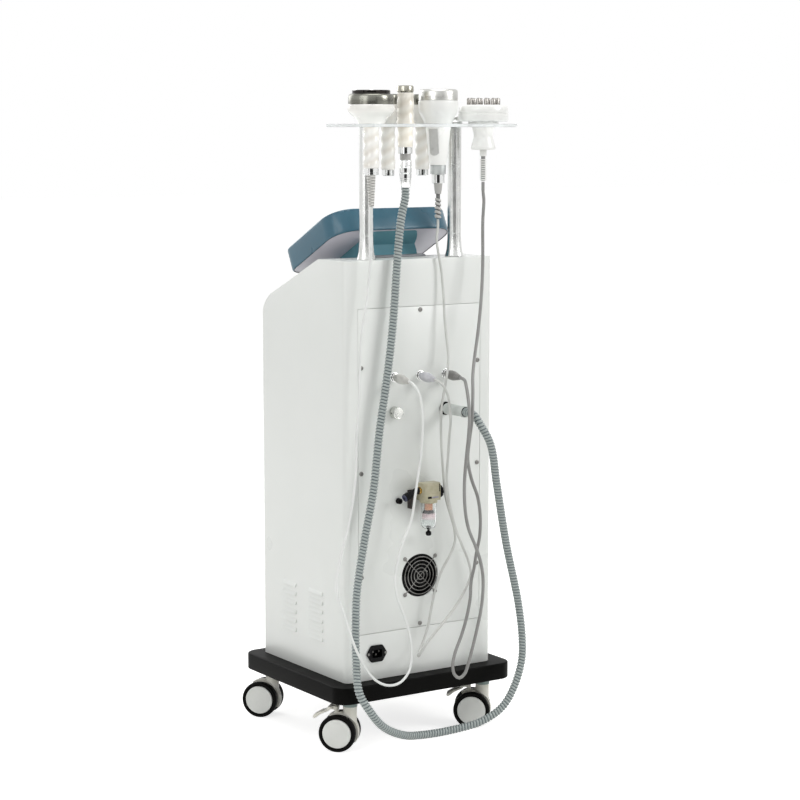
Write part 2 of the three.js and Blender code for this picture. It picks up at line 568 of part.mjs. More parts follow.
// Turned knob on its spindle, with a set screw hole in its side
function vacuumKnob() {
  const start = cabinetRear + 4 * gap;
  const end = cabinetRear + knob.length;
  const radius = knob.diameter / 2;
  const outline = [[0, cabinetRear - knob.depth], [knob.spindle / 2, cabinetRear - knob.depth],
    [knob.spindle / 2, start], [radius, start], [radius, end - knob.chamfer], [radius - knob.chamfer, end],
    [0, end]];
  const hole = turnedX(rod(setScrew.diameter, radius - setScrew.depth, radius + overrun), facetCounts.small);
  const body = cut(turnedY(outline, facetCounts.middle), hole.translate(0, start + setScrew.rise, 0));
  const turned = part('vacuum_knob', body, finishes.brushedMetal);
  turned.position.set(knob.x, 0, panelBottom + knob.rise);
  return turned;
}

// Six-sided flange, body through the wall and a pocket with three pins
function mainsInlet() {
  const seat = cabinetRear + gap;
  const half = inlet.flangeHeight / 2;
  const flat = inlet.flatWidth / 2;
  const flange = polygon([[flat, -half], [inlet.flangeWidth / 2, 0], [flat, half], [-flat, half],
    [-inlet.flangeWidth / 2, 0], [-flat, -half]]);
  const inner = cabinetRear - inlet.depth;
  const outer = seat + inlet.flange;
  const body = block([-inlet.body / 2, inner, -inlet.bodyHeight / 2],
    [inlet.body / 2, outer, inlet.bodyHeight / 2]);
  const pocket = block([-inlet.pocket / 2, outer - inlet.pocketDepth, -inlet.pocketHeight / 2],
    [inlet.pocket / 2, outer + overrun, inlet.pocketHeight / 2]);
  const pinStart = outer - inlet.pocketDepth - overrun;
  const pinTop = inlet.pocketHeight / 2 - pin.drop;
  const pins = [-1, 0, 1].map((step) => block(
    [step * pin.pitch - pin.width / 2, pinStart, pinTop - pin.height],
    [step * pin.pitch + pin.width / 2, pinStart + pin.length, pinTop]));
  const headRod = rod(inletScrew.diameter, outer - overrun, outer + inletScrew.height);
  const head = turnedY(headRod, facetCounts.small);
  const heads = [-1, 1].map((side) => head.clone().translate((side * inletScrew.pitch) / 2, 0, 0));
  const form = join(cut(join(prismY(flange, seat, outer), body), pocket), ...pins, ...heads);
  return part('mains_inlet', form.translate([inlet.x, 0, inletHeight]), finishes.blackPlastic);
}

// Air filter on its bracket, hanging over the middle of the panel
function airFilter() {
  const axisY = cabinetRear + filter.offPanel;
  const half = filter.halfWidth;
  const top = filterBottom + filter.height;
  const collarTop = filterBottom + filter.collarHeight;
  const side = roundedOutline(axisY - filter.depth / 2, axisY + filter.depth / 2, collarTop - filter.edge,
    top, filter.footEdge, filter.edge);
  const collar = turnedZ(rod(filter.collar, filterBottom, collarTop), facetCounts.middle);
  const body = part('filter_body', join(prismX(side, -half, half), collar.translate(0, axisY, 0)),
    finishes.beigePlastic);

  const bowlTop = filterBottom - gap;
  const bowlBottom = bowlTop - bowl.height;
  const outer = bowl.diameter / 2;
  const inner = outer - bowl.wall;
  const hole = bowl.drainHole / 2;
  const bowlOutline = [[hole, bowlBottom], [outer / 2, bowlBottom], [inner, bowlBottom + outer / 3],
    [outer, bowlBottom + outer], [outer, bowlTop], [inner, bowlTop], [inner, bowlBottom + outer],
    [outer / 2, bowlBottom + bowl.wall], [hole, bowlBottom + bowl.wall], [hole, bowlBottom]];
  const bowlBody = part('filter_bowl', turnedZ(bowlOutline, facetCounts.middle), finishes.clearAcrylic);

  const elementBottom = bowlTop - element.height;
  const baffleBottom = elementBottom - element.baffleHeight;
  const tipBottom = baffleBottom - element.tipHeight;
  const elementOutline = [[0, tipBottom], [element.tip / 2, tipBottom], [element.tip / 2, baffleBottom],
    [element.baffle / 2, baffleBottom], [element.tip, elementBottom], [element.diameter / 2, elementBottom],
    [element.diameter / 2, bowlTop], [0, bowlTop]];
  const elementBody = part('filter_element', turnedZ(elementOutline, facetCounts.small), finishes.bronze);

  const drainTop = bowlBottom - gap;
  const drainOutline = [[0, drainTop - drain.height], [drain.diameter / 2, drainTop - drain.height],
    [drain.diameter / 2, drainTop], [drain.stem / 2, drainTop], [drain.stem / 2, drainTop + drain.stemHeight],
    [0, drainTop + drain.stemHeight]];
  const drainBody = part('drain_knob', turnedZ(drainOutline, facetCounts.small), finishes.blackPlastic);
  for (const piece of [bowlBody, elementBody, drainBody]) piece.position.y = axisY;

  const plugEnd = half + gap + sidePlug.length;
  const plugForm = cut(turnedX(rod(sidePlug.diameter, -plugEnd, -half - gap), facetCounts.middle),
    turnedX(rod(sidePlug.hexHole, -plugEnd - overrun, -plugEnd + sidePlug.hexDepth), 6));
  const plugBody = part('filter_plug', plugForm, finishes.blackPlastic);
  plugBody.position.set(0, axisY, filterBottom + sidePlug.height);

  const start = half + gap;
  const bend = new THREE.CatmullRomCurve3([[start + elbow.portLength / 2, 0], [start + elbow.portLength, 0],
    [start + elbow.reach - elbow.collarLength, -elbow.drop], [start + elbow.reach, -elbow.drop - elbow.tail]]
    .map(([x, z]) => new THREE.Vector3(x, 0, z)));
  const ring = new THREE.Shape().absarc(0, 0, elbow.tube / 2, 0, 2 * Math.PI);
  const tube = new THREE.ExtrudeGeometry(ring, { steps: 4, extrudePath: bend, curveSegments: 4 });
  const port = turnedX(rod(elbow.port, start, start + elbow.portLength), facetCounts.small);
  const collarAngle = bend.getTangentAt(1);
  const elbowCollar = turnedX(rod(elbow.collar, -elbow.collarLength, 0), facetCounts.small)
    .rotateY(Math.atan2(-collarAngle.z, collarAngle.x)).translate(...bend.getPointAt(1).toArray());
  const elbowBody = part('elbow_fitting', join(port, tube, elbowCollar), finishes.blackPlastic);
  elbowBody.position.set(0, axisY, filterBottom + elbow.height);

  const seat = cabinetRear + gap;
  const bracketBottom = filterBottom - bracket.drop;
  const sheet = block([bracket.left, seat, bracketBottom],
    [bracket.right, seat + bracket.sheet, bracketBottom + bracket.height]);
  const spacer = block([-bracket.spacer / 2, seat, bracketBottom + bracket.spacerRise],
    [bracket.spacer / 2, axisY - filter.depth / 2 - gap, bracketBottom + bracket.height]);
  const wing = block([bracket.right - bracket.sheet, seat, bracketBottom],
    [bracket.right, axisY - filter.depth / 2 - gap, bracketBottom + bracket.height - elbow.portLength]);
  const bracketBody = part('filter_bracket', join(sheet, spacer, wing), finishes.blackPlastic);
  return [body, bowlBody, elementBody, plugBody, elbowBody, bracketBody, drainBody];
}

// Motor, finned head and base of the vacuum pump on the cabinet floor
function vacuumPump() {
  const floor = cabinetFoot + cabinet.wall + gap;
  const base = block([-pump.baseLength / 2, -pump.baseWidth / 2, floor],
    [pump.baseLength / 2, pump.baseWidth / 2, floor + pump.base]);
  const seat = floor + pump.base - gap;
  const headEnd = -pump.baseLength / 2 + pump.head;
  const head = block([-pump.baseLength / 2 + pump.base, -pump.headWidth / 2, seat],
    [headEnd, pump.headWidth / 2, seat + pump.headHeight]);
  const motor = turnedX(rod(pump.motor, headEnd - overrun, headEnd + pump.motorLength), facetCounts.middle)
    .translate(0, 0, seat + pump.motor / 2 + pump.fin);
  const foot = block([headEnd + pump.fin, -pump.motor / 4, seat],
    [headEnd + pump.motorLength - pump.fin, pump.motor / 4, seat + pump.motor / 4]);
  const grooves = Array.from({ length: pumpFinCount }, (_, i) => {
    const level = seat + pump.headHeight - (i + 1) * (pump.fin + pump.finGap);
    return block([-pump.baseLength / 2, -pump.headWidth / 2 - overrun, level],
      [-pump.baseLength / 2 + 2 * pump.base, pump.headWidth / 2 + overrun, level + pump.finGap]);
  });
  const form = cut(join(base, head, motor, foot), ...grooves);
  return part('vacuum_pump', form.translate([pump.x, pump.y, 0]), finishes.steel);
}

function powerSupply() {
  const floor = cabinetFoot + cabinet.wall + gap;
  const outline = (inset) => roundedOutline(supply.x - supply.width / 2 + inset,
    supply.x + supply.width / 2 - inset, supply.y - supply.length / 2 + inset,
    supply.y + supply.length / 2 - inset, supply.edge);
  const top = floor + supply.height;
  const form = join(prismZ(outline(0), floor, top, 1),
    prismZ(outline(supply.lidInset), top - overrun, top + supply.lid, 1));
  return part('power_supply', form, finishes.steel);
}

// Twin wheels on one axle, as one outline turned round it
function wheelPair(name) {
  const { radius, halfWidth, disc, tread, shoulder, dish, axle } = wheel;
  const inner = hood.web + hood.wheelGap;
  const half = [[axle / 2, inner], [radius, inner], [radius, inner + tread],
    [radius - shoulder, halfWidth - dish],
    [disc / 2 + dish, halfWidth - dish], [disc / 2, halfWidth], [0, halfWidth]];
  const other = half.map(([r, place]) => [r, -place]).reverse();
  const turned = turnedY([...other, ...half], facetCounts.wheel).rotateY(Math.PI / facetCounts.wheel);
  const body = part(name, turned, finishes.tyre);
  body.position.set(castor.trail, 0, axleHeight);
  return body;
}

// The eye that the pedal's pin turns in, and the same outline for the pedal's cheeks
function eyeOutline(foot, head) {
  const shape = new THREE.Shape();
  const half = pedal.eye / 2;
  shape.absarc(0, 0, half, foot ? 0 : Math.PI, foot ? Math.PI : 2 * Math.PI);
  shape.lineTo(foot ? -half : half, head);
  shape.lineTo(foot ? half : -half, head);
  return shape;
}

// Neck, web between the wheels and hood over them
function castorHousing(name, braked) {
  const reach = wheel.radius + hood.clearance;
  const outer = reach + hood.thickness;
  const round = turnedY(rod(2 * outer, -hood.halfWidth, hood.halfWidth), facetCounts.large);
  const side = neck.collar;
  const spaces = [-1, 1].map((way) => turnedY(rod(2 * reach, 0, side), facetCounts.large)
    .translate(0, way > 0 ? hood.web : -hood.web - side, 0));
  const rims = [-1, 1].map((way) => block([-outer - overrun, Math.min(way * hood.web, way * side), -outer],
    [outer + overrun, Math.max(way * hood.web, way * side), hood.rise]));
  const skirt = block([-outer, -side, -outer - overrun], [outer, side, -hood.skirt]);
  const top = tray.groundClearance - gap - axleHeight;
  const collarFoot = top - neck.collarHeight;
  const stem = turnedZ([[0, neck.rise], [neck.diameter / 2, neck.rise],
    [neck.diameter / 2, collarFoot - neck.fillet], [neck.collar / 2, collarFoot], [neck.collar / 2, top],
    [0, top]], facetCounts.middle).translate(-castor.trail, 0, 0);
  const axleHole = turnedY(rod(bore(wheel.axle, facetCounts.small), -side, side), facetCounts.small);
  let form = join(cut(round, ...rims, skirt), stem);
  if (braked) {
    const lug = prismY(eyeOutline(true, outer - hood.thickness / 2 - pedal.rise), -hood.web, hood.web, 3);
    const pinHole = turnedY(rod(bore(pedal.pin, facetCounts.small), -side, side), facetCounts.small);
    form = cut(join(form, lug.translate(pedal.x - castor.trail, 0, pedal.rise)),
      pinHole.translate(pedal.x - castor.trail, 0, pedal.rise));
  }
  const body = part(name, cut(form, ...spaces, axleHole), finishes.ivoryPlastic);
  body.position.set(castor.trail, 0, axleHeight);
  return body;
}

// Foot plate with ribs, carried by a pin through the housing's eye
function brakePedal(name) {
  const inner = hood.web + 2 * gap;
  const outer = inner + pedal.cheek;
  const low = pedal.plateRise;
  const high = low + pedal.plate;
  const sheet = polygon([[-pedal.back, low], [pedal.length / 2, low], [pedal.length, low - pedal.toe],
    [pedal.length, high - pedal.toe], [pedal.length / 2, high], [-pedal.back, high]]);
  const cheek = eyeOutline(false, low + pedal.rib);
  const cheeks = [prismY(cheek, -outer, -inner, 3), prismY(cheek, inner, outer, 3)];
  const pinRod = turnedY(rod(pedal.pin, -outer + overrun, outer - overrun), facetCounts.small);
  const ribs = Array.from({ length: pedalRibCount }, (_, i) => {
    const place = pedal.length / 2 - i * pedal.ribPitch;
    return block([place - pedal.ribWidth, -pedal.halfWidth, high - pedal.rib],
      [place, pedal.halfWidth, high + pedal.rib]);
  });
  const form = join(prismY(sheet, -pedal.halfWidth, pedal.halfWidth), ...cheeks, pinRod, ...ribs);
  const body = part(name, form, finishes.ivoryPlastic);
  body.position.set(pedal.x, 0, axleHeight + pedal.rise);
  return body;
}

// Headings are the ways the wheels trail, measured from +X
const castorPlaces = [
  { name: 'rear_left', side: 1, rear: true, heading: degrees(-46.5) },
  { name: 'rear_right', side: -1, rear: true, heading: degrees(-38.5) },
  { name: 'front_left', side: 1, rear: false, heading: degrees(-49.5) },
  { name: 'front_right', side: -1, rear: false, heading: degrees(226.5) },
];

function castors() {
  return castorPlaces.map(({ name, side, rear, heading }) => {
    const group = new THREE.Group();
    const y = rear ? trayRear - castor.rearInset : tray.front + castor.frontInset;
    group.position.set(side * (tray.halfWidth - castor.sideInset), y, 0);
    group.rotation.z = heading;
    group.add(castorHousing(`castor_${name}_housing`, rear), wheelPair(`castor_${name}_wheels`));
    if (rear) group.add(brakePedal(`castor_${name}_brake`));
    return group;
  });
}

// Underside of the console over a place along Y
const consoleUnder = (y) => consoleHeight + (y - consoleRear) * Math.tan(consoleTilt);

// The slab lies in its own frame: its lower rear edge is the origin and it runs down to -Y
function consoleParts() {
  const group = new THREE.Group();
  const { halfWidth, length, thickness, edge } = consoleBox;
  const shape = roundedOutline(-halfWidth + edge, halfWidth - edge, -length + edge, -edge,
    consoleBox.frontRadius - edge, consoleBox.rearRadius - edge);
  const slab = new THREE.ExtrudeGeometry(shape, {
    depth: thickness - 2 * edge, curveSegments: 3, bevelSize: edge, bevelThickness: edge, bevelSegments: 2,
  }).translate(0, 0, edge);
  const middle = -length / 2;
  const glass = (inset) => roundedOutline(-screen.halfWidth + inset, screen.halfWidth - inset,
    middle - screen.length / 2 + inset, middle + screen.length / 2 - inset, screen.cornerRadius - inset);
  const top = thickness - screen.recess;
  const pocket = prismZ(glass(0), top - screen.thickness, thickness + overrun, 2);
  group.add(part('console_housing', cut(slab, pocket), finishes.blueGloss));
  const pane = prismZ(glass(gap), top - screen.thickness + gap, top, 2);
  group.add(part('touch_screen', pane, finishes.screenGlass));
  group.position.set(0, consoleRear, consoleHeight);
  group.rotation.x = consoleTilt;
  return group;
}

// Neck that carries the slab, with its flange lying on the cabinet's top and slope
function consoleNeckBody() {
  const run = consoleBox.length * Math.cos(consoleTilt);
  const front = consoleRear - run + consoleNeck.frontInset;
  const rearFoot = consoleRear - consoleNeck.footInset;
  const rearTop = consoleRear - consoleNeck.topInset;
  const lift = gap / Math.cos(slopeAngle);
  const under = (y) => consoleUnder(y) - gap / Math.cos(consoleTilt);
  const over = (y) => cabinetHeightAt(y) + lift;
  const body = polygon([[rearFoot, over(rearFoot)], [rearTop, under(rearTop)],
    [front, under(front)], [front, over(front)], [slopeStart, over(slopeStart)]]);
  const half = consoleNeck.halfWidth;
  const plan = roundedOutline(-half, half, front, rearFoot, consoleNeck.cornerRadius);
  const column = common(prismX(body, -half, half), prismZ(plan, over(front), under(rearFoot), 3));
  const flangeFront = front - consoleNeck.flangeFront;
  const flangeRear = rearFoot + consoleNeck.flangeRear;
  const raise = consoleNeck.flange / Math.cos(slopeAngle);
  const band = polygon([[flangeRear, over(flangeRear)], [flangeRear, over(flangeRear) + raise],
    [slopeStart, over(slopeStart) + raise], [flangeFront, over(flangeFront) + raise],
    [flangeFront, over(flangeFront)], [slopeStart, over(slopeStart)]]);
  const wide = half + consoleNeck.flangeMargin;
  const bandPlan = roundedOutline(-wide, wide, flangeFront, flangeRear, consoleNeck.flangeRadius);
  const flange = common(prismX(band, -wide, wide), prismZ(bandPlan, over(flangeFront), under(rearFoot), 3));
  return part('console_neck', join(column, flange), finishes.blueGloss);
}

// Post with a flared foot on the cabinet, a stud through the plate and a cap above it
function holderPosts() {
  const foot = cabinetTop + gap;
  const shoulder = plateBottom - gap;
  const capSeat = plateTop + gap;
  const radius = post.diameter / 2;
  const outline = [[0, foot], [post.foot / 2, foot], [post.foot / 2, foot + post.footHeight / 15],
    [post.waist / 2 + overrun, foot + post.footHeight / 6], [post.waist / 2, foot + post.footHeight / 2],
    [radius, foot + post.footHeight], [radius, shoulder], [post.stud / 2, shoulder],
    [post.stud / 2, capSeat], [post.cap / 2, capSeat], [post.cap / 2, capSeat + post.capHeight / 2],
    [post.cap / 3, capSeat + post.capHeight], [0, capSeat + post.capHeight]];
  return [['holder_post_left', 1], ['holder_post_right', -1]].map(([name, side]) => {
    const body = part(name, turnedZ(outline, facetCounts.middle), finishes.polishedMetal);
    body.position.set(side * post.x, postY, 0);
    return body;
  });
}

function holderPlate() {
  const shape = roundedOutline(-plate.halfWidth, plate.halfWidth, plateFront, plateFront + plate.depth,
    plate.cornerRadius);
  const hole = (diameter, x, y, count) => turnedZ(rod(diameter, plateBottom - overrun, plateTop + overrun),
    count).translate(x, y, 0);
  const seats = [[largeHead, largeHead.handle], [mediumHead, mediumHead.handle], [smallHead, smallHead.lower],
    [cavitationHead, cavitationHead.handle], [multipolarHead, multipolarHead.cup],
    [{ x: -mediumHead.x, inset: mediumHead.inset }, mediumHead.handle]];
  const holes = seats.map(([place, diameter]) => hole(
    bore(diameter + 2 * plate.holeGap, facetCounts.middle), place.x, plateFront + place.inset,
    facetCounts.middle));
  const studs = [-1, 1].map((side) => hole(bore(post.stud, facetCounts.small), side * post.x, postY,
    facetCounts.small));
  return part('holder_plate', cut(prismZ(shape, plateBottom, plateTop, 2), ...holes, ...studs),
    finishes.clearAcrylic);
}

function strainRelief(name, top, length) {
  const outline = capped(outlined(reliefShares, cableRelief.top, length, top - length));
  return part(name, turnedZ(outline, facetCounts.small), finishes.greyPlastic);
}

// Large vacuum head: pearl bowl over its handle, with an electrode ring and cap on top
function largeVacuumHandpiece() {
  const size = largeHead;
  const foot = -size.handleLength;
  const ferruleFoot = foot - size.ferruleLength;
  const ferrule = size.ferrule / 2;
  const outline = [[0, ferruleFoot], [ferrule, ferruleFoot], [ferrule, foot],
    ...outlined(largeHandleShares, size.handle, size.handleLength, foot),
    ...outlined(largeBowlShares, size.bowl, size.bowlHeight, 0), [0, size.bowlHeight]];
  const seat = size.bowlHeight + gap;
  const ringTop = seat + size.ringHeight;
  const ring = [[0, seat], [size.ring / 2, seat], [size.cap / 2 + size.lip, ringTop],
    [size.cap / 2, ringTop], [size.cap / 2, ringTop + size.capHeight], [0, ringTop + size.capHeight]];
  return placed(size, [
    part('large_vacuum_handle', turnedZ(outline, facetCounts.ring), finishes.pearlPlastic),
    part('large_vacuum_electrode', turnedZ(ring, facetCounts.large), finishes.darkMetal),
    strainRelief('large_strain_relief', ferruleFoot - gap, size.reliefLength),
  ]);
}

function placed(size, pieces, side = 1) {
  const group = new THREE.Group();
  group.position.set(side * size.x, plateFront + size.inset, handpieceSeat);
  group.add(...pieces);
  return group;
}

// One of the two closed medium heads at the front of the plate
function mediumHandpiece(name, side) {
  const size = mediumHead;
  const foot = -size.handleLength;
  const ferruleFoot = foot - size.ferruleLength;
  const top = size.headHeight + size.capHeight;
  const outline = [[0, ferruleFoot], [size.ferrule / 2, ferruleFoot], [size.ferrule / 2, foot],
    ...outlined(mediumShares, size.handle, size.handleLength, foot),
    [size.head / 2, 0], [size.head / 2, top - size.capHeight / 6],
    [size.head / 2 - size.capHeight / 6, top], [0, top]];
  return placed(size, [part(name, turnedZ(outline, facetCounts.middle), finishes.pearlPlastic)], side);
}

// Small vacuum head: metal tip, wavy body and the coupling that takes the hose
function smallVacuumHandpiece() {
  const size = smallHead;
  const foot = -size.lowerLength;
  const body = [[0, foot], ...outlined(smallLowerShares, size.lower, size.lowerLength, foot),
    ...outlined(smallUpperShares, size.body, size.bodyHeight, 0), [0, size.bodyHeight]];
  const tipSeat = size.bodyHeight + gap;
  const tipTop = tipSeat + size.tipHeight;
  const tip = [[0, tipSeat], [size.tip / 2, tipSeat], [size.tip / 2, tipTop - size.tipHeight / 4],
    [size.tip / 2 - size.tipHeight / 6, tipTop], [0, tipTop]];
  const ringTop = foot - gap;
  const ringFoot = ringTop - size.ringLength;
  const couplingFoot = ringFoot - size.couplingLength;
  const coupling = [...capped(outlined(couplingShares, size.coupling, size.couplingLength, couplingFoot))
    .slice(0, -1), [size.ring / 2, ringFoot], [size.ring / 2, ringTop], [0, ringTop]];
  return placed(size, [
    part('small_vacuum_body', turnedZ(body, facetCounts.middle), finishes.pearlPlastic),
    part('small_vacuum_tip', turnedZ(tip, facetCounts.middle), finishes.polishedMetal),
    part('small_vacuum_coupling', turnedZ(coupling, facetCounts.middle), finishes.polishedMetal),
  ]);
}

// Cavitation head: brushed cap on a cone, and a tapered handle with a flat pressed into its side
function cavitationHandpiece() {
  const size = cavitationHead;
  const foot = -size.handleLength;
  const ferruleFoot = foot - size.ferruleLength;
  const outline = [[0, ferruleFoot], [size.ferrule / 2, ferruleFoot], [size.ferrule / 2, foot],
    [size.handleFoot / 2, foot], [size.handle / 2, 0],
    ...outlined(cavitationShares, size.head, size.headHeight - size.capHeight / 2, 0),
    [0, size.headHeight - size.capHeight / 2]];
  const slant = Math.atan2(size.handle - size.handleFoot, 2 * size.handleLength);
  const pressed = block([-size.flat, -size.handle / 2, size.flatRise],
    [size.flat + overrun, size.handle / 2, size.flatRise + size.flatHeight])
    .rotateY(slant).translate(size.handleFoot / 2, 0, foot);
  const seat = size.headHeight - size.capHeight / 2 + gap;
  const top = seat + size.capHeight + size.capHeight / 2;
  const cap = [[0, seat], [size.head / 2, seat], [size.cap / 2, seat + size.capHeight / 2],
    [size.cap / 2, top - size.capHeight / 8], [size.cap / 2 - size.capHeight / 8, top], [0, top]];
  return placed(size, [
    part('cavitation_handle', cut(turnedZ(outline, facetCounts.middle), pressed), finishes.pearlPlastic),
    part('cavitation_cap', turnedZ(cap, facetCounts.large), finishes.brushedMetal),
    strainRelief('cavitation_strain_relief', ferruleFoot - gap, size.reliefLength),
  ]);
}

// Multipolar head: a disc with a ring of contact pins over a cup-shaped handle
function multipolarHandpiece() {
  const size = multipolarHead;
  const half = size.disc / 2;
  const middle = (size.seat + size.discHeight) / 2;
  const disc = [[0, size.seat + gap], [half - size.groove, size.seat + gap], [half, size.seat * 2],
    [half, middle - size.groove], [half - size.groove, middle], [half, middle + size.groove],
    [half, size.discHeight - size.groove], [half - size.groove, size.discHeight], [0, size.discHeight]];
  const top = size.discHeight + size.pins;
  const contact = turnedZ([[0, size.discHeight - overrun], [size.pinDiameter / 2, size.discHeight - overrun],
    [size.pinDiameter / 2, top - size.groove], [size.pinDiameter / 4, top], [0, top]], facetCounts.screw);
  const contacts = Array.from({ length: multipolarPinCount }, (_, i) => contact.clone()
    .translate(size.pinCircle / 2, 0, 0).rotateZ((i * 2 * Math.PI) / multipolarPinCount));
  const head = join(turnedZ(disc, facetCounts.large), ...contacts);
  const foot = -size.cupLength;
  const seatWide = size.cup / 2 + size.seat;
  const cup = [[0, foot], ...outlined(multipolarCupShares, size.cup, size.cupLength, foot),
    [seatWide, 0], [seatWide, size.seat], [0, size.seat]];
  return placed(size, [
    part('multipolar_handle', turnedZ(cup, facetCounts.ring), finishes.pearlPlastic),
    part('multipolar_head', head, finishes.pearlPlastic),
    strainRelief('multipolar_strain_relief', foot - gap, size.reliefLength),
  ]);
}

const smoothCurve = (route) => new THREE.CatmullRomCurve3(
  route.map((point) => new THREE.Vector3(...point)), false, 'centripetal');

// Spaces a path by its own points, which lie closer together in its bends
function spacedByPoints(curve) {
  curve.getUtoTmapping = (share) => share;
  return curve;
}

function plainCord(name, route, diameter, material) {
  const section = new THREE.Shape(Array.from({ length: cableSideCount }, (_, i) => {
    const turn = (i * 2 * Math.PI) / cableSideCount;
    return new THREE.Vector2((Math.cos(turn) * diameter) / 2, (Math.sin(turn) * diameter) / 2);
  }));
  const options = { steps: route.length - 1, extrudePath: spacedByPoints(smoothCurve(route)) };
  return part(name, new THREE.ExtrudeGeometry(section, options), material);
}

// Ribbed hose: one skin of crests and valleys outside, a bore inside and a flat ring at each end
function ribbedHose() {
  const curve = smoothCurve(hoseRoute);
  curve.arcLengthDivisions = 4 * hoseRibCount;
  const length = curve.getLength();
  const ringCount = 2 * hoseRibCount;
  const first = hose.straight / length;
  const spots = [0, ...Array.from({ length: ringCount - 1 },
    (_, i) => first + ((1 - 2 * first) * i) / (ringCount - 2)), 1];
  const centres = spots.map((spot) => curve.getPointAt(spot));
  const frames = carriedFrames(spots.map((spot) => curve.getTangentAt(spot)));
  const points = [];
  const addRing = (index, radius) => {
    for (let side = 0; side < hoseSideCount; side += 1) {
      const turn = (side * 2 * Math.PI) / hoseSideCount;
      const { normal, binormal } = frames[index];
      points.push(centres[index].clone().addScaledVector(normal, Math.cos(turn) * radius)
        .addScaledVector(binormal, Math.sin(turn) * radius));
    }
  };
  const outer = spots.map((_, i) => i);
  const isEnd = (i) => i <= 1 || i >= ringCount - 1;
  outer.forEach((i) => addRing(i, (isEnd(i) || i % 2 ? hose.valley : hose.diameter) / 2));
  const inner = boreStops(centres);
  inner.forEach((i) => addRing(i, hose.bore / 2));
  return skinnedTube(points, outer.length, inner.length);
}

// The few rings of the bore that keep it inside the wall: straight runs between them sag little
function boreStops(centres) {
  const stops = [0];
  const last = centres.length - 1;
  while (stops[stops.length - 1] < last) {
    const from = stops[stops.length - 1];
    let to = from + 1;
    while (to < last && sagBetween(centres, from, to + 1) < hose.boreSag) to += 1;
    stops.push(to);
  }
  return stops;
}

function sagBetween(centres, from, to) {
  const run = new THREE.Line3(centres[from], centres[to]);
  const nearest = new THREE.Vector3();
  return Math.max(...centres.slice(from + 1, to)
    .map((centre) => run.closestPointToPoint(centre, true, nearest).distanceTo(centre)));
}

// Joins rings of points into a tube with a bore
function skinnedTube(points, outerCount, innerCount) {
  const index = [];
  const corner = (ring, side) => ring * hoseSideCount + (side % hoseSideCount);
  const strip = (low, high, outward) => {
    for (let side = 0; side < hoseSideCount; side += 1) {
      const [a, b] = [corner(low, side), corner(low, side + 1)];
      const [c, d] = [corner(high, side), corner(high, side + 1)];
      index.push(...(outward ? [a, b, d, a, d, c] : [a, d, b, a, c, d]));
    }
  };
  for (let ring = 0; ring < outerCount - 1; ring += 1) strip(ring, ring + 1, true);
  for (let ring = 0; ring < innerCount - 1; ring += 1) strip(outerCount + ring, outerCount + ring + 1, false);
  strip(0, outerCount, false);
  strip(outerCount - 1, outerCount + innerCount - 1, true);
  const geometry = new THREE.BufferGeometry().setFromPoints(points);
  geometry.setIndex(index);
  return geometry;
}

// Frames that turn with the path and don't spin round it
function carriedFrames(tangents) {
  const frames = [];
  let normal = new THREE.Vector3().crossVectors(tangents[0], X).normalize();
  for (const tangent of tangents) {
    normal = normal.clone().addScaledVector(tangent, -normal.dot(tangent)).normalize();
    frames.push({ normal, binormal: new THREE.Vector3().crossVectors(tangent, normal) });
  }
  return frames;
}

// Least clear distance between stretches of the hose that lie further apart than a turn of it
function leastHoseGap() {
  const centres = smoothCurve(hoseRoute).getSpacedPoints(8 * hoseRibCount);
  const step = centres[0].distanceTo(centres[1]);
  const apart = Math.ceil((4 * hose.diameter) / step);
  let least = Infinity;
  for (let i = 0; i < centres.length; i += 1) {
    for (let j = i + apart; j < centres.length; j += 1) {
      least = Math.min(least, centres[i].distanceTo(centres[j]) - hose.diameter);
    }
  }
  return least;
}

function cords() {
  console.log(`Least gap of the hose to itself: ${leastHoseGap().toFixed(1)} mm`);
  return [
    part('vacuum_hose', ribbedHose(), finishes.hoseGrey),
    plainCord('large_cable', largeCableRoute, largeCable.diameter, finishes.cableWhite),
    plainCord('cavitation_cable', cavitationCableRoute, cavitationCable.diameter, finishes.cableWhite),
    plainCord('multipolar_cable', multipolarCableRoute, multipolarCable.diameter, finishes.cableGrey),
  ];
}

const machine = new THREE.Group();
machine.add(
  baseTray(), cabinetShell(), servicePanel(), fanFrame(), fanRotor(), fanGuard(), ...socketRow(),
  ...plugRow(), ...hoseFittings(), tubePortBody(), vacuumKnob(), mainsInlet(), ...airFilter(),
  vacuumPump(), powerSupply(),
  ...castors(), consoleParts(), consoleNeckBody(), ...holderPosts(), holderPlate(), largeVacuumHandpiece(),
  mediumHandpiece('medium_head_left', 1), mediumHandpiece('medium_head_right', -1),
  smallVacuumHandpiece(), cavitationHandpiece(), multipolarHandpiece(), ...cords(),
);

export default machine;
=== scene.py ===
"""Looks of an upright body-care machine on castors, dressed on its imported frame.

Lengths are in millimetres until a piece is finished. Then its mesh is scaled to metres, in the frame's own
place, and its object stays at the origin.
"""

import json
import logging
import math
from dataclasses import dataclass, replace
from enum import Enum
from itertools import product
from typing import Any, Callable, Iterable, Optional, Sequence

import bmesh
import bpy
from mathutils import Matrix, Vector

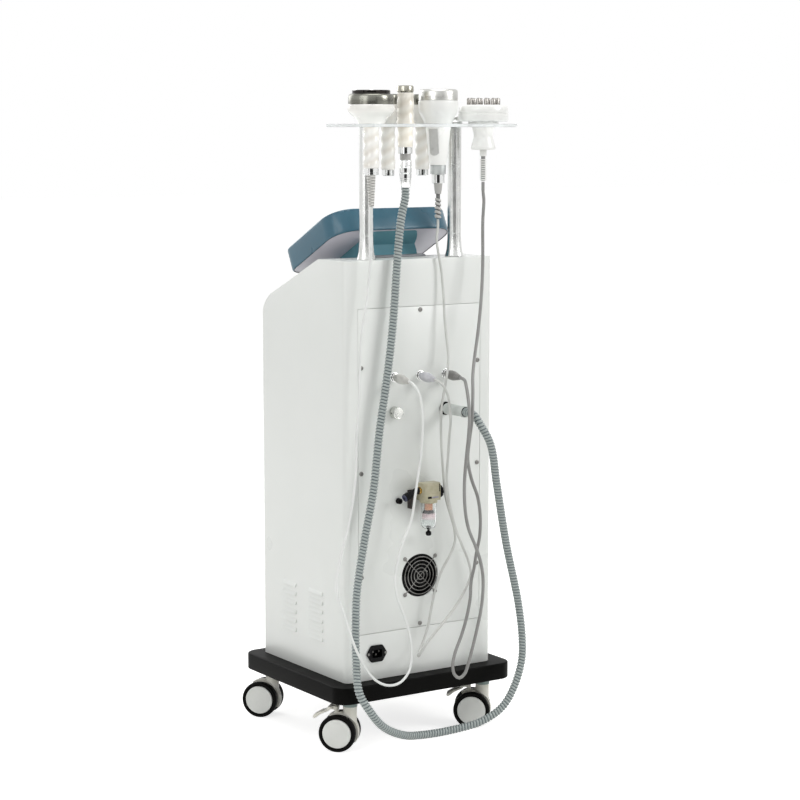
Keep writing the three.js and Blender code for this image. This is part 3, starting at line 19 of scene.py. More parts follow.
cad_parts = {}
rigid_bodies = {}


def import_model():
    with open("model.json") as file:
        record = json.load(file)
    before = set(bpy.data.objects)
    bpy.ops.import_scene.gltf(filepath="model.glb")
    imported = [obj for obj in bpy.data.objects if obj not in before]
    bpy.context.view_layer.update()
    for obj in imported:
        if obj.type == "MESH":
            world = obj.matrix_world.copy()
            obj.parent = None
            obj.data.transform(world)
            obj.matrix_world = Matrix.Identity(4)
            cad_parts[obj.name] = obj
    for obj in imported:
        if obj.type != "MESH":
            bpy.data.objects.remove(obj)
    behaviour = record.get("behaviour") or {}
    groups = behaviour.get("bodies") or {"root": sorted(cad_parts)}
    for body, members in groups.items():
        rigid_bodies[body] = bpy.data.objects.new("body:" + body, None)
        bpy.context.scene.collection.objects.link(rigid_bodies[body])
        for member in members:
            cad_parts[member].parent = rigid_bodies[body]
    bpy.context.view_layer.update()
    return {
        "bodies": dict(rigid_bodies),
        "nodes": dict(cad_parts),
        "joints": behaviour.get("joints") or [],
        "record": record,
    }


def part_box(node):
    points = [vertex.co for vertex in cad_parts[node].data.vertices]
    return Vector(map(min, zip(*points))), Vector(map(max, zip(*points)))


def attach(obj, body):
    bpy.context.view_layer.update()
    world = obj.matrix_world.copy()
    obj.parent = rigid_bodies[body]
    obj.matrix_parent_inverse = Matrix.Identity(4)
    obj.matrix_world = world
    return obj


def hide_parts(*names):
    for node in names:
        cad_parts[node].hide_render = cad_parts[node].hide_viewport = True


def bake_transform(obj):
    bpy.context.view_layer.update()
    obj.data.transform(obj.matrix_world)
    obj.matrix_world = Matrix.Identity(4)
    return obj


LOG = logging.getLogger("machine_looks")
MM = 0.001
Outline = Sequence[tuple[float, float]]
Triple = tuple[float, float, float]
# The knots that each step of a centripetal curve's pyramid runs between
KNOT_PAIRS = (((0, 1), (1, 2), (2, 3)), ((0, 2), (1, 3)), ((1, 2),))


def linear(code: str) -> tuple[float, float, float, float]:
    """Turns an sRGB hex colour to the linear one that a shader takes.

    Args:
        code: six hex digits.

    Returns:
        Red, green, blue and an alpha of 1.
    """
    shares = [int(code[place:place + 2], 16) / 255 for place in (0, 2, 4)]
    return (*[s / 12.92 if s <= 0.04045 else ((s + 0.055) / 1.055) ** 2.4 for s in shares], 1.0)


def add_node(tree: bpy.types.NodeTree, kind: str, settings: Optional[dict[str, Any]] = None,
             links: Optional[dict[str, bpy.types.NodeSocket]] = None) -> bpy.types.Node:
    """Adds a shader node with its settings and links.

    Args:
        tree: the material's node tree.
        kind: the node's type.
        settings: values by input name, or by property name where no input has it.
        links: output sockets by the name of the input that they feed.

    Returns:
        The new node.
    """
    node = tree.nodes.new(kind)
    for name, value in (settings or {}).items():
        if name in node.inputs:
            node.inputs[name].default_value = value
        else:
            setattr(node, name, value)
    for name, source in (links or {}).items():
        tree.links.new(source, node.inputs[name])
    return node


class Relief(Enum):
    """How the fine relief of a surface runs."""

    GRAINED = "noise in all directions"
    TURNED = "rings round the Y axis of a lathe"
    TURNED_UPRIGHT = "rings round the Z axis of a lathe"


@dataclass(frozen=True)
class Finish:
    """One real surface, with its pattern sizes in millimetres.

    Attributes:
        name: the material's name.
        slot: the record's material slot; not used.
        colour: sRGB hex on the bulk of the surface.
        shade: sRGB hex in the darker part of the mottle; where an attribute is read, it is the painted shade
            in the hollows that the attribute marks.
        roughness: mean roughness.
        spread: how far the roughness wanders to each side.
        mottle: size of the colour's slow change.
        grain: size of the relief's features.
        depth: height of the relief.
        stretch: how often the pattern repeats along each axis, compared with the given sizes.
        centre: middle of a turned relief.
    """

    name: str
    slot: str
    colour: str
    shade: str
    roughness: float
    spread: float = 0.04
    mottle: float = 60.0
    grain: float = 2.5
    depth: float = 0.02
    metallic: float = 0.0
    ior: float = 1.5
    coat: float = 0.0
    coat_roughness: float = 0.05
    transmission: float = 0.0
    stretch: Triple = (1.0, 1.0, 1.0)
    centre: Triple = (0.0, 0.0, 0.0)
    relief: Relief = Relief.GRAINED
    attribute: str = ""

    def material(self) -> bpy.types.Material:
        """Makes the material once and returns it after that.

        Returns:
            The material.
        """
        known = bpy.data.materials.get(self.name)
        if known is not None:
            return known
        made = bpy.data.materials.new(self.name)
        made.use_nodes = True
        tree = made.node_tree
        shader = tree.nodes["Principled BSDF"]
        shader.inputs["Metallic"].default_value = self.metallic
        if not self.metallic:
            shader.inputs["IOR"].default_value = self.ior
        shader.inputs["Coat Weight"].default_value = self.coat
        shader.inputs["Coat Roughness"].default_value = self.coat_roughness
        shader.inputs["Transmission Weight"].default_value = self.transmission
        place = add_node(tree, "ShaderNodeTexCoord").outputs["Object"]
        scale = [share / MM for share in self.stretch]
        shift = [-middle * share for middle, share in zip(self.centre, self.stretch)]
        mapped = add_node(tree, "ShaderNodeMapping", {"Scale": scale, "Location": shift},
                          {"Vector": place}).outputs["Vector"]
        slow = add_node(tree, "ShaderNodeTexNoise", {"Scale": 1 / self.mottle, "Detail": 4.0},
                        {"Vector": mapped}).outputs["Fac"]
        tone = slow
        # An attribute marks the hollows of the mesh, and the ramp paints the shade colour into them: painted
        # shade
        if self.attribute:
            tone = add_node(tree, "ShaderNodeAttribute", {"attribute_name": self.attribute}).outputs["Fac"]
        ramp = add_node(tree, "ShaderNodeValToRGB", links={"Fac": tone})
        low, high = ramp.color_ramp.elements
        low.position, high.position = (0.05, 0.9) if self.attribute else (0.3, 0.7)
        low.color, high.color = linear(self.shade), linear(self.colour)
        tree.links.new(ramp.outputs["Color"], shader.inputs["Base Color"])
        rough = add_node(tree, "ShaderNodeMapRange", {
            "From Min": 0.3, "From Max": 0.7, "To Min": max(self.roughness - self.spread, 0.0),
            "To Max": self.roughness + self.spread}, {"Value": slow})
        tree.links.new(rough.outputs["Result"], shader.inputs["Roughness"])
        if self.relief is Relief.GRAINED:
            fine = add_node(tree, "ShaderNodeTexNoise", {"Scale": 1 / self.grain, "Detail": 2.0},
                            {"Vector": mapped}).outputs["Fac"]
        else:
            axis = "Y" if self.relief is Relief.TURNED else "Z"
            fine = add_node(tree, "ShaderNodeTexWave", {
                "wave_type": "RINGS", "rings_direction": axis, "Scale": 0.31 / self.grain,
                "Distortion": 2.0, "Detail": 3.0}, {"Vector": mapped}).outputs["Fac"]
        bump = add_node(tree, "ShaderNodeBump", {"Distance": self.depth * MM}, {"Height": fine})
        tree.links.new(bump.outputs["Normal"], shader.inputs["Normal"])
        return made


# Polyester powder coat on sheet steel: an even satin white with a faint orange peel
POWDER_COAT = Finish("powder_coated_steel", "white_enamel", "E9EBE8", "E5E8E4", 0.3, mottle=260, grain=3,
                     depth=0.005, coat=0.25, coat_roughness=0.2)
# Moulded ABS with a leather grain: near black, with a soft sheen on its upper face
BLACK_ABS = Finish("black_grained_abs", "black_plastic", "0B0B0A", "080807", 0.42, spread=0.05, mottle=90,
                   grain=2.2, depth=0.04, ior=1.12)
# Glass-filled nylon of fittings: black and nearly matt
BLACK_NYLON = Finish("black_nylon", "black_plastic", "0E0E0F", "0A0A0B", 0.4, mottle=12, grain=1.2,
                     ior=1.2)
# Wet lacquer on moulded ABS: slate blue under a glossy clear coat
BLUE_LACQUER = Finish("slate_blue_lacquer", "blue_gloss", "396679", "335D70", 0.3, mottle=120, grain=4,
                      depth=0.008, coat=0.22, coat_roughness=0.06, ior=1.42)
# The same slate blue on the neck, painted lighter as painted light where it stands in the console's shade,
# with a dull skin
BLUE_SATIN = replace(BLUE_LACQUER, name="slate_blue_satin_painted_light", colour="64949F", shade="5B8A98", roughness=0.5,
                     coat=0.0, ior=1.25)
# Powder coat of the console's sunk base: lavender grey
LAVENDER_COAT = replace(POWDER_COAT, name="lavender_powder_coat", colour="CFCCD6", shade="C8C5CF",
                        slot="blue_gloss", roughness=0.4, coat=0.0)
# Grey lacquer of the neck's flange
GREY_LACQUER = replace(LAVENDER_COAT, name="grey_lacquer", colour="85888C", shade="797C80")
# Cover glass over a dark display
COVER_GLASS = Finish("cover_glass", "screen_glass", "0C1015", "080B10", 0.05, spread=0.02, mottle=80,
                     grain=30, depth=0.002, coat=1.0, coat_roughness=0.02)
# Cast acrylic sheet, clear with polished edges
ACRYLIC = Finish("clear_cast_acrylic", "clear_acrylic", "F7FAFA", "EFF5F5", 0.02, spread=0.01, mottle=80,
                 grain=40, depth=0.002, ior=1.49, transmission=1.0)
# Cut and polished edge of the same sheet, painted whiter and less clear than the sheet: a painted highlight
# for the light that the edge gathers, shown as a bright line
ACRYLIC_EDGE_HIGHLIGHT = replace(ACRYLIC, name="acrylic_edge_painted_highlight", colour="FBFDFD", shade="F2F6F6", roughness=0.12,
                       transmission=0.25)
# Decorative chrome plate on turned steel: a mirror with faint hazing
CHROME = Finish("chrome_plate", "chrome", "EEEFEE", "E3E4E3", 0.07, spread=0.03, mottle=25, grain=8,
                depth=0.004, metallic=1.0)
# Satin chrome on the drawn tubes of the posts
SATIN_CHROME = replace(CHROME, name="satin_chrome", colour="DADBD9", shade="CFD0CE", roughness=0.26)
# Zinc-plated screws and guard wires, dulled by handling
ZINC = replace(CHROME, name="zinc_plate", colour="8F8E8B", shade="6C6B68", roughness=0.3)
# Bright anodised aluminium, satin from brushing round the part
SATIN_ALUMINIUM = Finish("satin_aluminium", "brushed_metal", "CFCFCB", "BDBDB8", 0.3, mottle=14, grain=1.4,
                         metallic=1.0, stretch=(0.1, 0.1, 2.0))
# Dark nickel electrode ring, polished round
GUNMETAL = Finish("dark_nickel", "dark_chrome", "85857D", "67665F", 0.24, mottle=18, grain=2,
                  metallic=1.0, stretch=(0.15, 0.15, 2.0))
# Black nickel cap over the electrode: a dark mirror
BLACK_NICKEL = Finish("black_nickel", "dark_chrome", "3B3836", "2B2927", 0.08, mottle=20, grain=10,
                      depth=0.003, metallic=1.0)
# Pearl lacquer on moulded grips: warm ivory with a soft bright sheen, with painted shade in the finger dents
# and a painted highlight on their ridges, read from the mesh's dent mark
PEARL = Finish("pearl_lacquer", "pearl_plastic", "FAF8F3", "E0D8CA", 0.24, mottle=26, grain=5,
               coat=0.7, coat_roughness=0.07, attribute="dent")
# Moulded ABS housings of the two white heads
WHITE_ABS = Finish("white_abs", "pearl_plastic", "F7F7F4", "F1F1EE", 0.3, mottle=50, grain=3, depth=0.01,
                   coat=0.3, coat_roughness=0.1)
# Nylon castor housings: ivory with a dull moulded skin
IVORY_NYLON = Finish("ivory_nylon", "ivory_plastic", "E9E8E0", "DBD9CC", 0.42, mottle=18, grain=1.6)
# Polyurethane tread: black with a dusty bloom
TREAD = Finish("black_tread", "tyre", "0D0D0C", "090908", 0.55, spread=0.08, mottle=9, grain=1.0, depth=0.03,
               ior=1.15)
# Painted wheel discs, silver grey
DISC_GREY = Finish("silver_grey_disc", "grey_plastic", "E8E9E5", "E0E2DD", 0.36, mottle=30, grain=2,
                   depth=0.01)
# Painted zinc casting of the air filter
BEIGE_CASTING = Finish("beige_painted_zinc", "beige_metal", "BDB89F", "A9A388", 0.42, mottle=14, grain=1.2,
                       depth=0.05)
# Sintered bronze filter element: open copper-brown grit
SINTERED = Finish("sintered_bronze", "bronze", "D08E62", "AE7046", 0.7, mottle=2.5, grain=0.9, depth=0.12,
                  metallic=0.3)
# Polycarbonate bowl, clear
POLYCARBONATE = Finish("clear_polycarbonate", "clear_bowl", "F6F8F8", "EFF3F3", 0.04, spread=0.02, mottle=20,
                       grain=12, depth=0.004, ior=1.58, transmission=1.0)
# Tinted sleeve inside the bowl, faintly pink
PINK_SLEEVE = Finish("pink_tinted_sleeve", "clear_bowl", "FBEDEF", "F7E2E5", 0.1, mottle=8, grain=6,
                     depth=0.01, ior=1.49, transmission=0.85)
# Brass of ports and pins
BRASS = Finish("turned_brass", "bronze", "C9A45C", "A98544", 0.25, mottle=6, grain=0.8, metallic=1.0)
# Release collar of the push-in fitting, ink blue
INK_COLLAR = Finish("ink_blue_collar", "black_plastic", "20264A", "171B38", 0.35, mottle=8, grain=1)
# Brown-black painted bracket
BROWN_PAINT = Finish("brown_black_paint", "black_plastic", "2B221F", "1F1816", 0.45, mottle=14, grain=1,
                     depth=0.03)
# Overmoulded PVC of plugs, cuff and strain reliefs
PLUG_PEARL = Finish("light_grey_pvc", "grey_plastic", "D2D1CC", "BDBCB7", 0.36, mottle=12, grain=1.2,
                    depth=0.03)
PLUG_LAVENDER = replace(PLUG_PEARL, name="lavender_grey_pvc", colour="C9C9CD", shade="B2B2B8")
PLUG_DARK = replace(PLUG_PEARL, name="dark_grey_pvc", colour="8C8B88", shade="6F6E6B")
CUFF_PVC = Finish("cuff_pvc", "grey_plastic", "CDD1CE", "B9BEBA", 0.45, mottle=16, grain=1.4, depth=0.06)
WHITE_PVC = Finish("white_pvc", "grey_plastic", "EDEDEA", "E0E0DC", 0.36, mottle=14, grain=1.2)
GREY_PVC = Finish("grey_pvc", "grey_plastic", "B5B4B1", "9B9A97", 0.4, mottle=10, grain=1.2, depth=0.03)
# The same PVC on strain reliefs, with painted shade on the core between the ribs, read from the mesh's rib
# mark
RELIEF_WHITE = replace(WHITE_PVC, name="white_relief_pvc", shade="8E8E8C", attribute="rib")
RELIEF_GREY = replace(GREY_PVC, name="grey_relief_pvc", shade="6A6A69", attribute="rib")
RELIEF_PALE = replace(WHITE_PVC, name="pale_relief_pvc", colour="DEDDD9", shade="A09F9B", attribute="rib")
# Soft PVC hose, spirally ribbed: grey-green crests, with painted shade in the grooves, read from the mesh's
# crest mark
HOSE_PVC = Finish("grey_green_hose_pvc", "hose_grey", "A6AEAC", "636D70", 0.42, mottle=30, grain=1.5,
                  depth=0.03, attribute="crest")
# Smooth PVC cable jackets
JACKET_WHITE = Finish("white_cable_pvc", "cable_white", "EDEEEC", "E2E4E2", 0.34, mottle=40, grain=1.2,
                      depth=0.01)
JACKET_PALE = Finish("pale_grey_cable_pvc", "cable_white", "CFD0CC", "C4C5C1", 0.36, mottle=40, grain=1.2,
                     depth=0.01)
JACKET_GREY = Finish("grey_cable_pvc", "cable_grey", "929290", "838280", 0.36, mottle=40, grain=1.2,
                     depth=0.01)
# Pressed and cast housings inside the cabinet
CAST_GREY = Finish("cast_grey", "steel", "9B9D9D", "858787", 0.45, mottle=20, grain=1.5, depth=0.05,
                   metallic=0.9)


class Plane(Enum):
    """The plane that an outline is drawn in, and so the axis that it is drawn out along."""

    XY = (0, 1, 2)
    XZ = (0, 2, 1)
    YZ = (1, 2, 0)

    def place(self, first: float, second: float, out: float) -> Vector:
        """Puts a point of the outline, and its place along the third axis, into space.

        Args:
            first: place along the outline's first axis.
            second: place along its second axis.
            out: place along the third axis.

        Returns:
            The point.
        """
        point = Vector((0.0, 0.0, 0.0))
        for axis, value in zip(self.value, (first, second, out)):
            point[axis] = value
        return point


@dataclass(frozen=True)
class Spot:
    """The box of a frame node, in millimetres."""

    low: Vector
    high: Vector

    @classmethod
    def of(cls, node: str) -> "Spot":
        """Reads a node's box from the frame."""
        low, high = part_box(node)
        return cls(low / MM, high / MM)

    @property
    def centre(self) -> Vector:
        """Middle of the box."""
        return (self.low + self.high) / 2

    @property
    def size(self) -> Vector:
        """Lengths of the box's sides."""
        return self.high - self.low


class Form:
    """A mesh in the making, in millimetres, that ends as one piece on the frame."""

    def __init__(self) -> None:
        """Starts with an empty mesh."""
        self.mesh = bmesh.new()

    @classmethod
    def turned(cls, outline: Outline, steps: int = 64, closed: bool = False) -> "Form":
        """Turns an outline round the Z axis.

        Args:
            outline: radii and heights, in order.
            steps: facets of a full turn.
            closed: whether the outline's end joins its start.

        Returns:
            The turned form.
        """
        form = cls()
        corners = [form.mesh.verts.new((radius, 0.0, height)) for radius, height in outline]
        pairs = list(zip(corners, corners[1:]))
        if closed:
            pairs.append((corners[-1], corners[0]))
        edges = [form.mesh.edges.new(pair) for pair in pairs]
        bmesh.ops.spin(form.mesh, geom=corners + edges, cent=(0, 0, 0), axis=(0, 0, 1), dvec=(0, 0, 0),
                       angle=math.tau, steps=steps, use_merge=True)
        return form.cleaned()

    @classmethod
    def slab(cls, outline: Outline, low: float, high: float, plane: Plane = Plane.XY) -> "Form":
        """Draws an outline out along the axis that it faces.

        Args:
            outline: corners in the plane, in order.
            low: where the form starts along the third axis.
            high: where it ends.
            plane: the plane of the outline.

        Returns:
            The closed prism.
        """
        form = cls()
        face = form.mesh.faces.new([form.mesh.verts.new(plane.place(u, v, low)) for u, v in outline])
        grown = bmesh.ops.extrude_face_region(form.mesh, geom=[face], use_keep_orig=True)
        top = [item for item in grown["geom"] if isinstance(item, bmesh.types.BMVert)]
        bmesh.ops.translate(form.mesh, vec=plane.place(0, 0, high - low), verts=top)
        return form.cleaned()

    @classmethod
    def block(cls, low: Sequence[float], high: Sequence[float]) -> "Form":
        """Makes a box from its lowest corner to its highest.

        Args:
            low: the lowest corner.
            high: the highest corner.

        Returns:
            The box.
        """
        form = cls()
        size = Vector(high) - Vector(low)
        middle = (Vector(high) + Vector(low)) / 2
        place = Matrix.Translation(middle) @ Matrix.Diagonal((*size, 1))
        bmesh.ops.create_cube(form.mesh, size=1.0, matrix=place)
        return form

    @classmethod
    def rod(cls, diameter: float, low: float, high: float, steps: int = 32) -> "Form":
        """Makes a round bar along Z."""
        return cls.turned([(0, low), (diameter / 2, low), (diameter / 2, high), (0, high)], steps)

    @classmethod
    def wire_ring(cls, radius: float, wire: float, steps: int = 64) -> "Form":
        """Bends a round wire to a ring round Z.

        Args:
            radius: from the axis to the middle of the wire.
            wire: the wire's thickness.
            steps: facets of a full turn.

        Returns:
            The ring.
        """
        sides = 10
        section = [(radius + wire / 2 * math.cos(math.tau * i / sides),
                    wire / 2 * math.sin(math.tau * i / sides)) for i in range(sides)]
        return cls.turned(section, steps, closed=True)

    @classmethod
    def tube(cls, path: Sequence[Vector], radius: Callable[[float, float], float], sides: int) -> "Form":
        """Rolls a grid into a tube along a path.

        Args:
            path: evenly spaced points of the centreline.
            radius: the radius at a distance along the path and a share of the turn.
            sides: facets round the tube.

        Returns:
            The tube with its ends closed.
        """
        form = cls()
        frames = carried_frames(path)
        step = (path[1] - path[0]).length
        bmesh.ops.create_grid(form.mesh, x_segments=sides, y_segments=len(path) - 1, size=0.5)
        for vert in form.mesh.verts:
            share = vert.co.x + 0.5
            ring = round((vert.co.y + 0.5) * (len(path) - 1))
            normal, binormal = frames[ring]
            reach = radius(ring * step, share)
            turn = math.tau * share
            vert.co = path[ring] + (normal * math.cos(turn) + binormal * math.sin(turn)) * reach
        bmesh.ops.remove_doubles(form.mesh, verts=form.mesh.verts, dist=0.001)
        rims = [edge for edge in form.mesh.edges if edge.is_boundary]
        bmesh.ops.holes_fill(form.mesh, edges=rims, sides=sides)
        return form.cleaned()

    def cleaned(self) -> "Form":
        """Merges doubles and turns all faces outwards."""
        bmesh.ops.remove_doubles(self.mesh, verts=self.mesh.verts, dist=0.0005)
        bmesh.ops.recalc_face_normals(self.mesh, faces=self.mesh.faces)
        return self

    def copy(self) -> "Form":
        """Returns a second form with the same mesh."""
        twin = Form()
        twin.mesh = self.mesh.copy()
        return twin

    def rounded(self, radius: float, axis: Vector, segments: int = 5,
                where: Callable[[Vector], bool] = lambda middle: True) -> "Form":
        """Rounds the edges that run along an axis.

        Args:
            radius: how far the rounding reaches from the edge.
            axis: unit direction of the edges.
            segments: facets of the rounding.
            where: says of an edge's middle whether that edge is rounded.

        Returns:
            The same form.
        """
        chosen = []
        for edge in self.mesh.edges:
            run = edge.verts[1].co - edge.verts[0].co
            middle = (edge.verts[1].co + edge.verts[0].co) / 2
            if run.length > 0 and abs(run.normalized().dot(axis)) > 0.999 and where(middle):
                chosen.append(edge)
        return self._bevel(chosen, radius, segments)

    def softened(self, width: float, segments: int = 2, angle: float = 30.0) -> "Form":
        """Bevels each edge that is sharper than an angle.

        Args:
            width: how far the bevel reaches from the edge.
            segments: facets of the bevel.
            angle: least angle between the edge's faces, in degrees.

        Returns:
            The same form.
        """
        sharp = [edge for edge in self.mesh.edges
                 if len(edge.link_faces) == 2 and edge.calc_face_angle() > math.radians(angle)]
        return self._bevel(sharp, width, segments)

    def _bevel(self, edges: list, width: float, segments: int) -> "Form":
        """Bevels the given edges with a round profile.

        Args:
            edges: the edges.
            width: how far the bevel reaches.
            segments: its facets.

        Returns:
            The same form.
        """
        bmesh.ops.bevel(self.mesh, geom=edges, offset=width, offset_type="OFFSET", segments=segments,
                        profile=0.5, affect="EDGES", clamp_overlap=True, material=-1)
        return self.cleaned()

    def moved(self, x: float = 0.0, y: float = 0.0, z: float = 0.0) -> "Form":
        """Shifts the form."""
        bmesh.ops.translate(self.mesh, vec=(x, y, z), verts=self.mesh.verts)
        return self

    def rotated(self, degrees: float, axis: str, centre: Sequence[float] = (0, 0, 0)) -> "Form":
        """Turns the form round an axis through a point."""
        turn = Matrix.Rotation(math.radians(degrees), 3, axis)
        bmesh.ops.rotate(self.mesh, cent=centre, matrix=turn, verts=self.mesh.verts)
        return self

    def over(self, at: Vector) -> "Form":
        """Shifts the form to a point's place in the plan."""
        return self.moved(at.x, at.y)

    def behind(self, at: Vector, y: float) -> "Form":
        """Shifts the form to a point's place in the rear view, and along Y."""
        return self.moved(at.x, y, at.z)

    def placed(self, matrix: Matrix) -> "Form":
        """Puts the form into another frame."""
        bmesh.ops.transform(self.mesh, matrix=matrix, verts=self.mesh.verts)
        return self

    def along_y(self) -> "Form":
        """Lays a form that was turned round Z along +Y."""
        return self.rotated(-90, "X")

    def along_x(self) -> "Form":
        """Lays a form that was turned round Z along +X."""
        return self.rotated(90, "Y")

    def warped(self, bend: Callable[[Vector], Vector]) -> "Form":
        """Moves each corner as a function says."""
        for vert in self.mesh.verts:
            vert.co = bend(vert.co)
        return self

    def marked(self, name: str, value: Callable[[Vector], float]) -> "Form":
        """Writes a value at each corner, from 0 to 1, for a finish to read.

        Args:
            name: the attribute's name.
            value: gives the value at a place.

        Returns:
            The same form.
        """
        layer = self.mesh.verts.layers.float.new(name)
        for vert in self.mesh.verts:
            vert[layer] = value(vert.co)
        return self

    def opened(self, where: Callable[[Vector], bool]) -> "Form":
        """Deletes the faces whose middles a function picks."""
        gone = [face for face in self.mesh.faces if where(face.calc_center_median())]
        bmesh.ops.delete(self.mesh, geom=gone, context="FACES")
        return self

    def thickened(self, wall: float) -> "Form":
        """Gives an open skin a wall."""
        bmesh.ops.recalc_face_normals(self.mesh, faces=self.mesh.faces)
        bmesh.ops.solidify(self.mesh, geom=self.mesh.faces[:], thickness=wall)
        return self.cleaned()

    def with_(self, *others: "Form") -> "Form":
        """Lays other forms beside this one in the same mesh.

        Args:
            others: the forms, which are used up.

        Returns:
            The same form.
        """
        for other in others:
            data = bpy.data.meshes.new("joining")
            other.mesh.to_mesh(data)
            other.mesh.free()
            self.mesh.from_mesh(data)
            bpy.data.meshes.remove(data)
        return self

    def _combined(self, tools: Iterable["Form"], operation: str) -> "Form":
        """Runs one Boolean modifier per tool and reads the result back.

        Args:
            tools: the other forms, which are used up.
            operation: the modifier's operation.

        Returns:
            The same form.
        """
        target = self.loose_object("target")
        cutters = [tool.loose_object("cutter") for tool in tools]
        for cutter in cutters:
            step = target.modifiers.new("step", "BOOLEAN")
            step.operation = operation
            step.object = cutter
            step.solver = "EXACT"
        graph = bpy.context.evaluated_depsgraph_get()
        data = bpy.data.meshes.new_from_object(target.evaluated_get(graph))
        self.mesh = bmesh.new()
        self.mesh.from_mesh(data)
        bpy.data.meshes.remove(data)
        for loose in [target, *cutters]:
            mesh = loose.data
            bpy.data.objects.remove(loose)
            bpy.data.meshes.remove(mesh)
        return self

    def cut(self, *tools: "Form") -> "Form":
        """Cuts other forms away from this one."""
        return self._combined(tools, "DIFFERENCE")

    def common(self, tool: "Form") -> "Form":
        """Keeps what this form shares with another."""
        return self._combined([tool], "INTERSECT")

    def loose_object(self, name: str) -> bpy.types.Object:
        """Hands the mesh to an object in the scene.

        Args:
            name: the object's name.

        Returns:
            The object.
        """
        data = bpy.data.meshes.new(name)
        self.mesh.to_mesh(data)
        self.mesh.free()
        made = bpy.data.objects.new(name, data)
        bpy.context.scene.collection.objects.link(made)
        return made

    def piece(self, name: str, finish: Finish, body: Optional[str] = "root", stands_for: Sequence[str] = (),
              sharp: float = 35.0) -> bpy.types.Object:
        """Finishes the form as a named object that rides on a body.

        Args:
            name: the piece's name.
            finish: its surface.
            body: the frame body that carries it, or None where it rides on no body.
            stands_for: frame nodes that it replaces.
            sharp: angle in degrees above which an edge stays crisp.

        Returns:
            The object.
        """
        bmesh.ops.scale(self.mesh, vec=(MM, MM, MM), verts=self.mesh.verts)
        for face in self.mesh.faces:
            face.smooth = True
        for edge in self.mesh.edges:
            edge.smooth = len(edge.link_faces) == 2 and edge.calc_face_angle() < math.radians(sharp)
        made = self.loose_object(name)
        made.data.materials.append(finish.material())
        if body is not None:
            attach(made, body)
        if stands_for:
            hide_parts(*stands_for)
        LOG.info("%s: %d faces", name, len(made.data.polygons))
        return made


def carried_frames(path: Sequence[Vector]) -> list[tuple[Vector, Vector]]:
    """Works out cross directions along a path that turn with it and don't spin round it.

    Args:
        path: points of the path.

    Returns:
        A normal and a binormal at each point.
    """
    frames = []
    normal = Vector((1.0, 0.0, 0.0))
    for index, _ in enumerate(path):
        ahead = path[min(index + 1, len(path) - 1)]
        behind = path[max(index - 1, 0)]
        tangent = (ahead - behind).normalized()
        normal = (normal - tangent * normal.dot(tangent)).normalized()
        frames.append((normal, tangent.cross(normal)))
    return frames


def smooth_path(route: Sequence[Triple], step: float) -> list[Vector]:
    """Runs a centripetal curve through points and spaces it evenly.

    Args:
        route: the points, in millimetres.
        step: rough distance between the points that come back.

    Returns:
        Evenly spaced points from the first to the last of the route.
    """
    points = [Vector(point) for point in route]
    points = [2 * points[0] - points[1], *points, 2 * points[-1] - points[-2]]
    dense = [points[1]]
    for before, start, end, after in zip(points, points[1:], points[2:], points[3:]):
        knots = [0.0]
        for one, two in ((before, start), (start, end), (end, after)):
            knots.append(knots[-1] + math.sqrt((two - one).length))
        count = max(4, math.ceil((end - start).length))
        for index in range(1, count + 1):
            at = knots[1] + (knots[2] - knots[1]) * index / count
            level = [before, start, end, after]
            for pairs in KNOT_PAIRS:
                level = [blend_knots(one, two, at, knots[low], knots[high])
                         for one, two, (low, high) in zip(level, level[1:], pairs)]
            dense.append(level[0])
    return spaced(dense, step)


def blend_knots(one: Vector, two: Vector, at: float, low: float, high: float) -> Vector:
    """Mixes two points by where a knot value lies between two others."""
    return one * ((high - at) / (high - low)) + two * ((at - low) / (high - low))


def spaced(dense: Sequence[Vector], step: float) -> list[Vector]:
    """Walks along a dense line and keeps points at even distances.

    Args:
        dense: close points of the line.
        step: rough distance wanted.

    Returns:
        Evenly spaced points with both ends kept.
    """
    runs = [(two - one).length for one, two in zip(dense, dense[1:])]
    count = max(2, round(sum(runs) / step))
    even = sum(runs) / count
    kept = [dense[0]]
    walked = 0.0
    for start, end, run in zip(dense, dense[1:], runs):
        while len(kept) < count and walked + run >= len(kept) * even:
            share = (len(kept) * even - walked) / run
            kept.append(start.lerp(end, share))
        walked += run
    kept.append(dense[-1])
    return kept


def shared(shares: Outline, diameter: float, length: float, start: float) -> list[tuple[float, float]]:
    """Turns shares of a diameter and a length into radii and heights.

    Args:
        shares: pairs of a width share and a height share.
        diameter: the full width.
        length: the full length.
        start: height of the lower end.

    Returns:
        The outline.
    """
    return [(wide * diameter / 2, start + high * length) for wide, high in shares]


def flowing(outline: Outline, step: float = 2.0) -> list[tuple[float, float]]:
    """Runs a smooth line through the points of an outline, a round of about the given step."""
    path = smooth_path([(radius, height, 0.0) for radius, height in outline], step)
    return [(max(point.x, 0.0), point.y) for point in path]


def capped(outline: Outline) -> list[tuple[float, float]]:
    """Closes an outline to the axis at both ends."""
    return [(0.0, outline[0][1]), *outline, (0.0, outline[-1][1])]


def raised(outline: Outline, start: float) -> list[tuple[float, float]]:
    """Shifts the heights of an outline."""
    return [(radius, start + height) for radius, height in outline]


def plain_material(name: str, code: str) -> bpy.types.Material:
    """Makes a material of one sRGB colour for what stands round the machine.

    Args:
        name: the material's name.
        code: six hex digits.

    Returns:
        The material.
    """
    made = bpy.data.materials.new(name)
    made.use_nodes = True
    made.node_tree.nodes["Principled BSDF"].inputs["Base Color"].default_value = linear(code)
    return made


def aimed(made: bpy.types.Object, place: Triple, ahead: Vector) -> None:
    """Puts a camera or lamp at a place in the scene, looking along a direction.

    Args:
        made: the camera or lamp.
        place: where it stands, in metres.
        ahead: where it looks.
    """
    made.location = place
    made.rotation_mode = "QUATERNION"
    made.rotation_quaternion = ahead.to_track_quat("-Z", "Y")
    bpy.context.scene.collection.objects.link(made)


X = Vector((1.0, 0.0, 0.0))
Y = Vector((0.0, 1.0, 0.0))
Z = Vector((0.0, 0.0, 1.0))


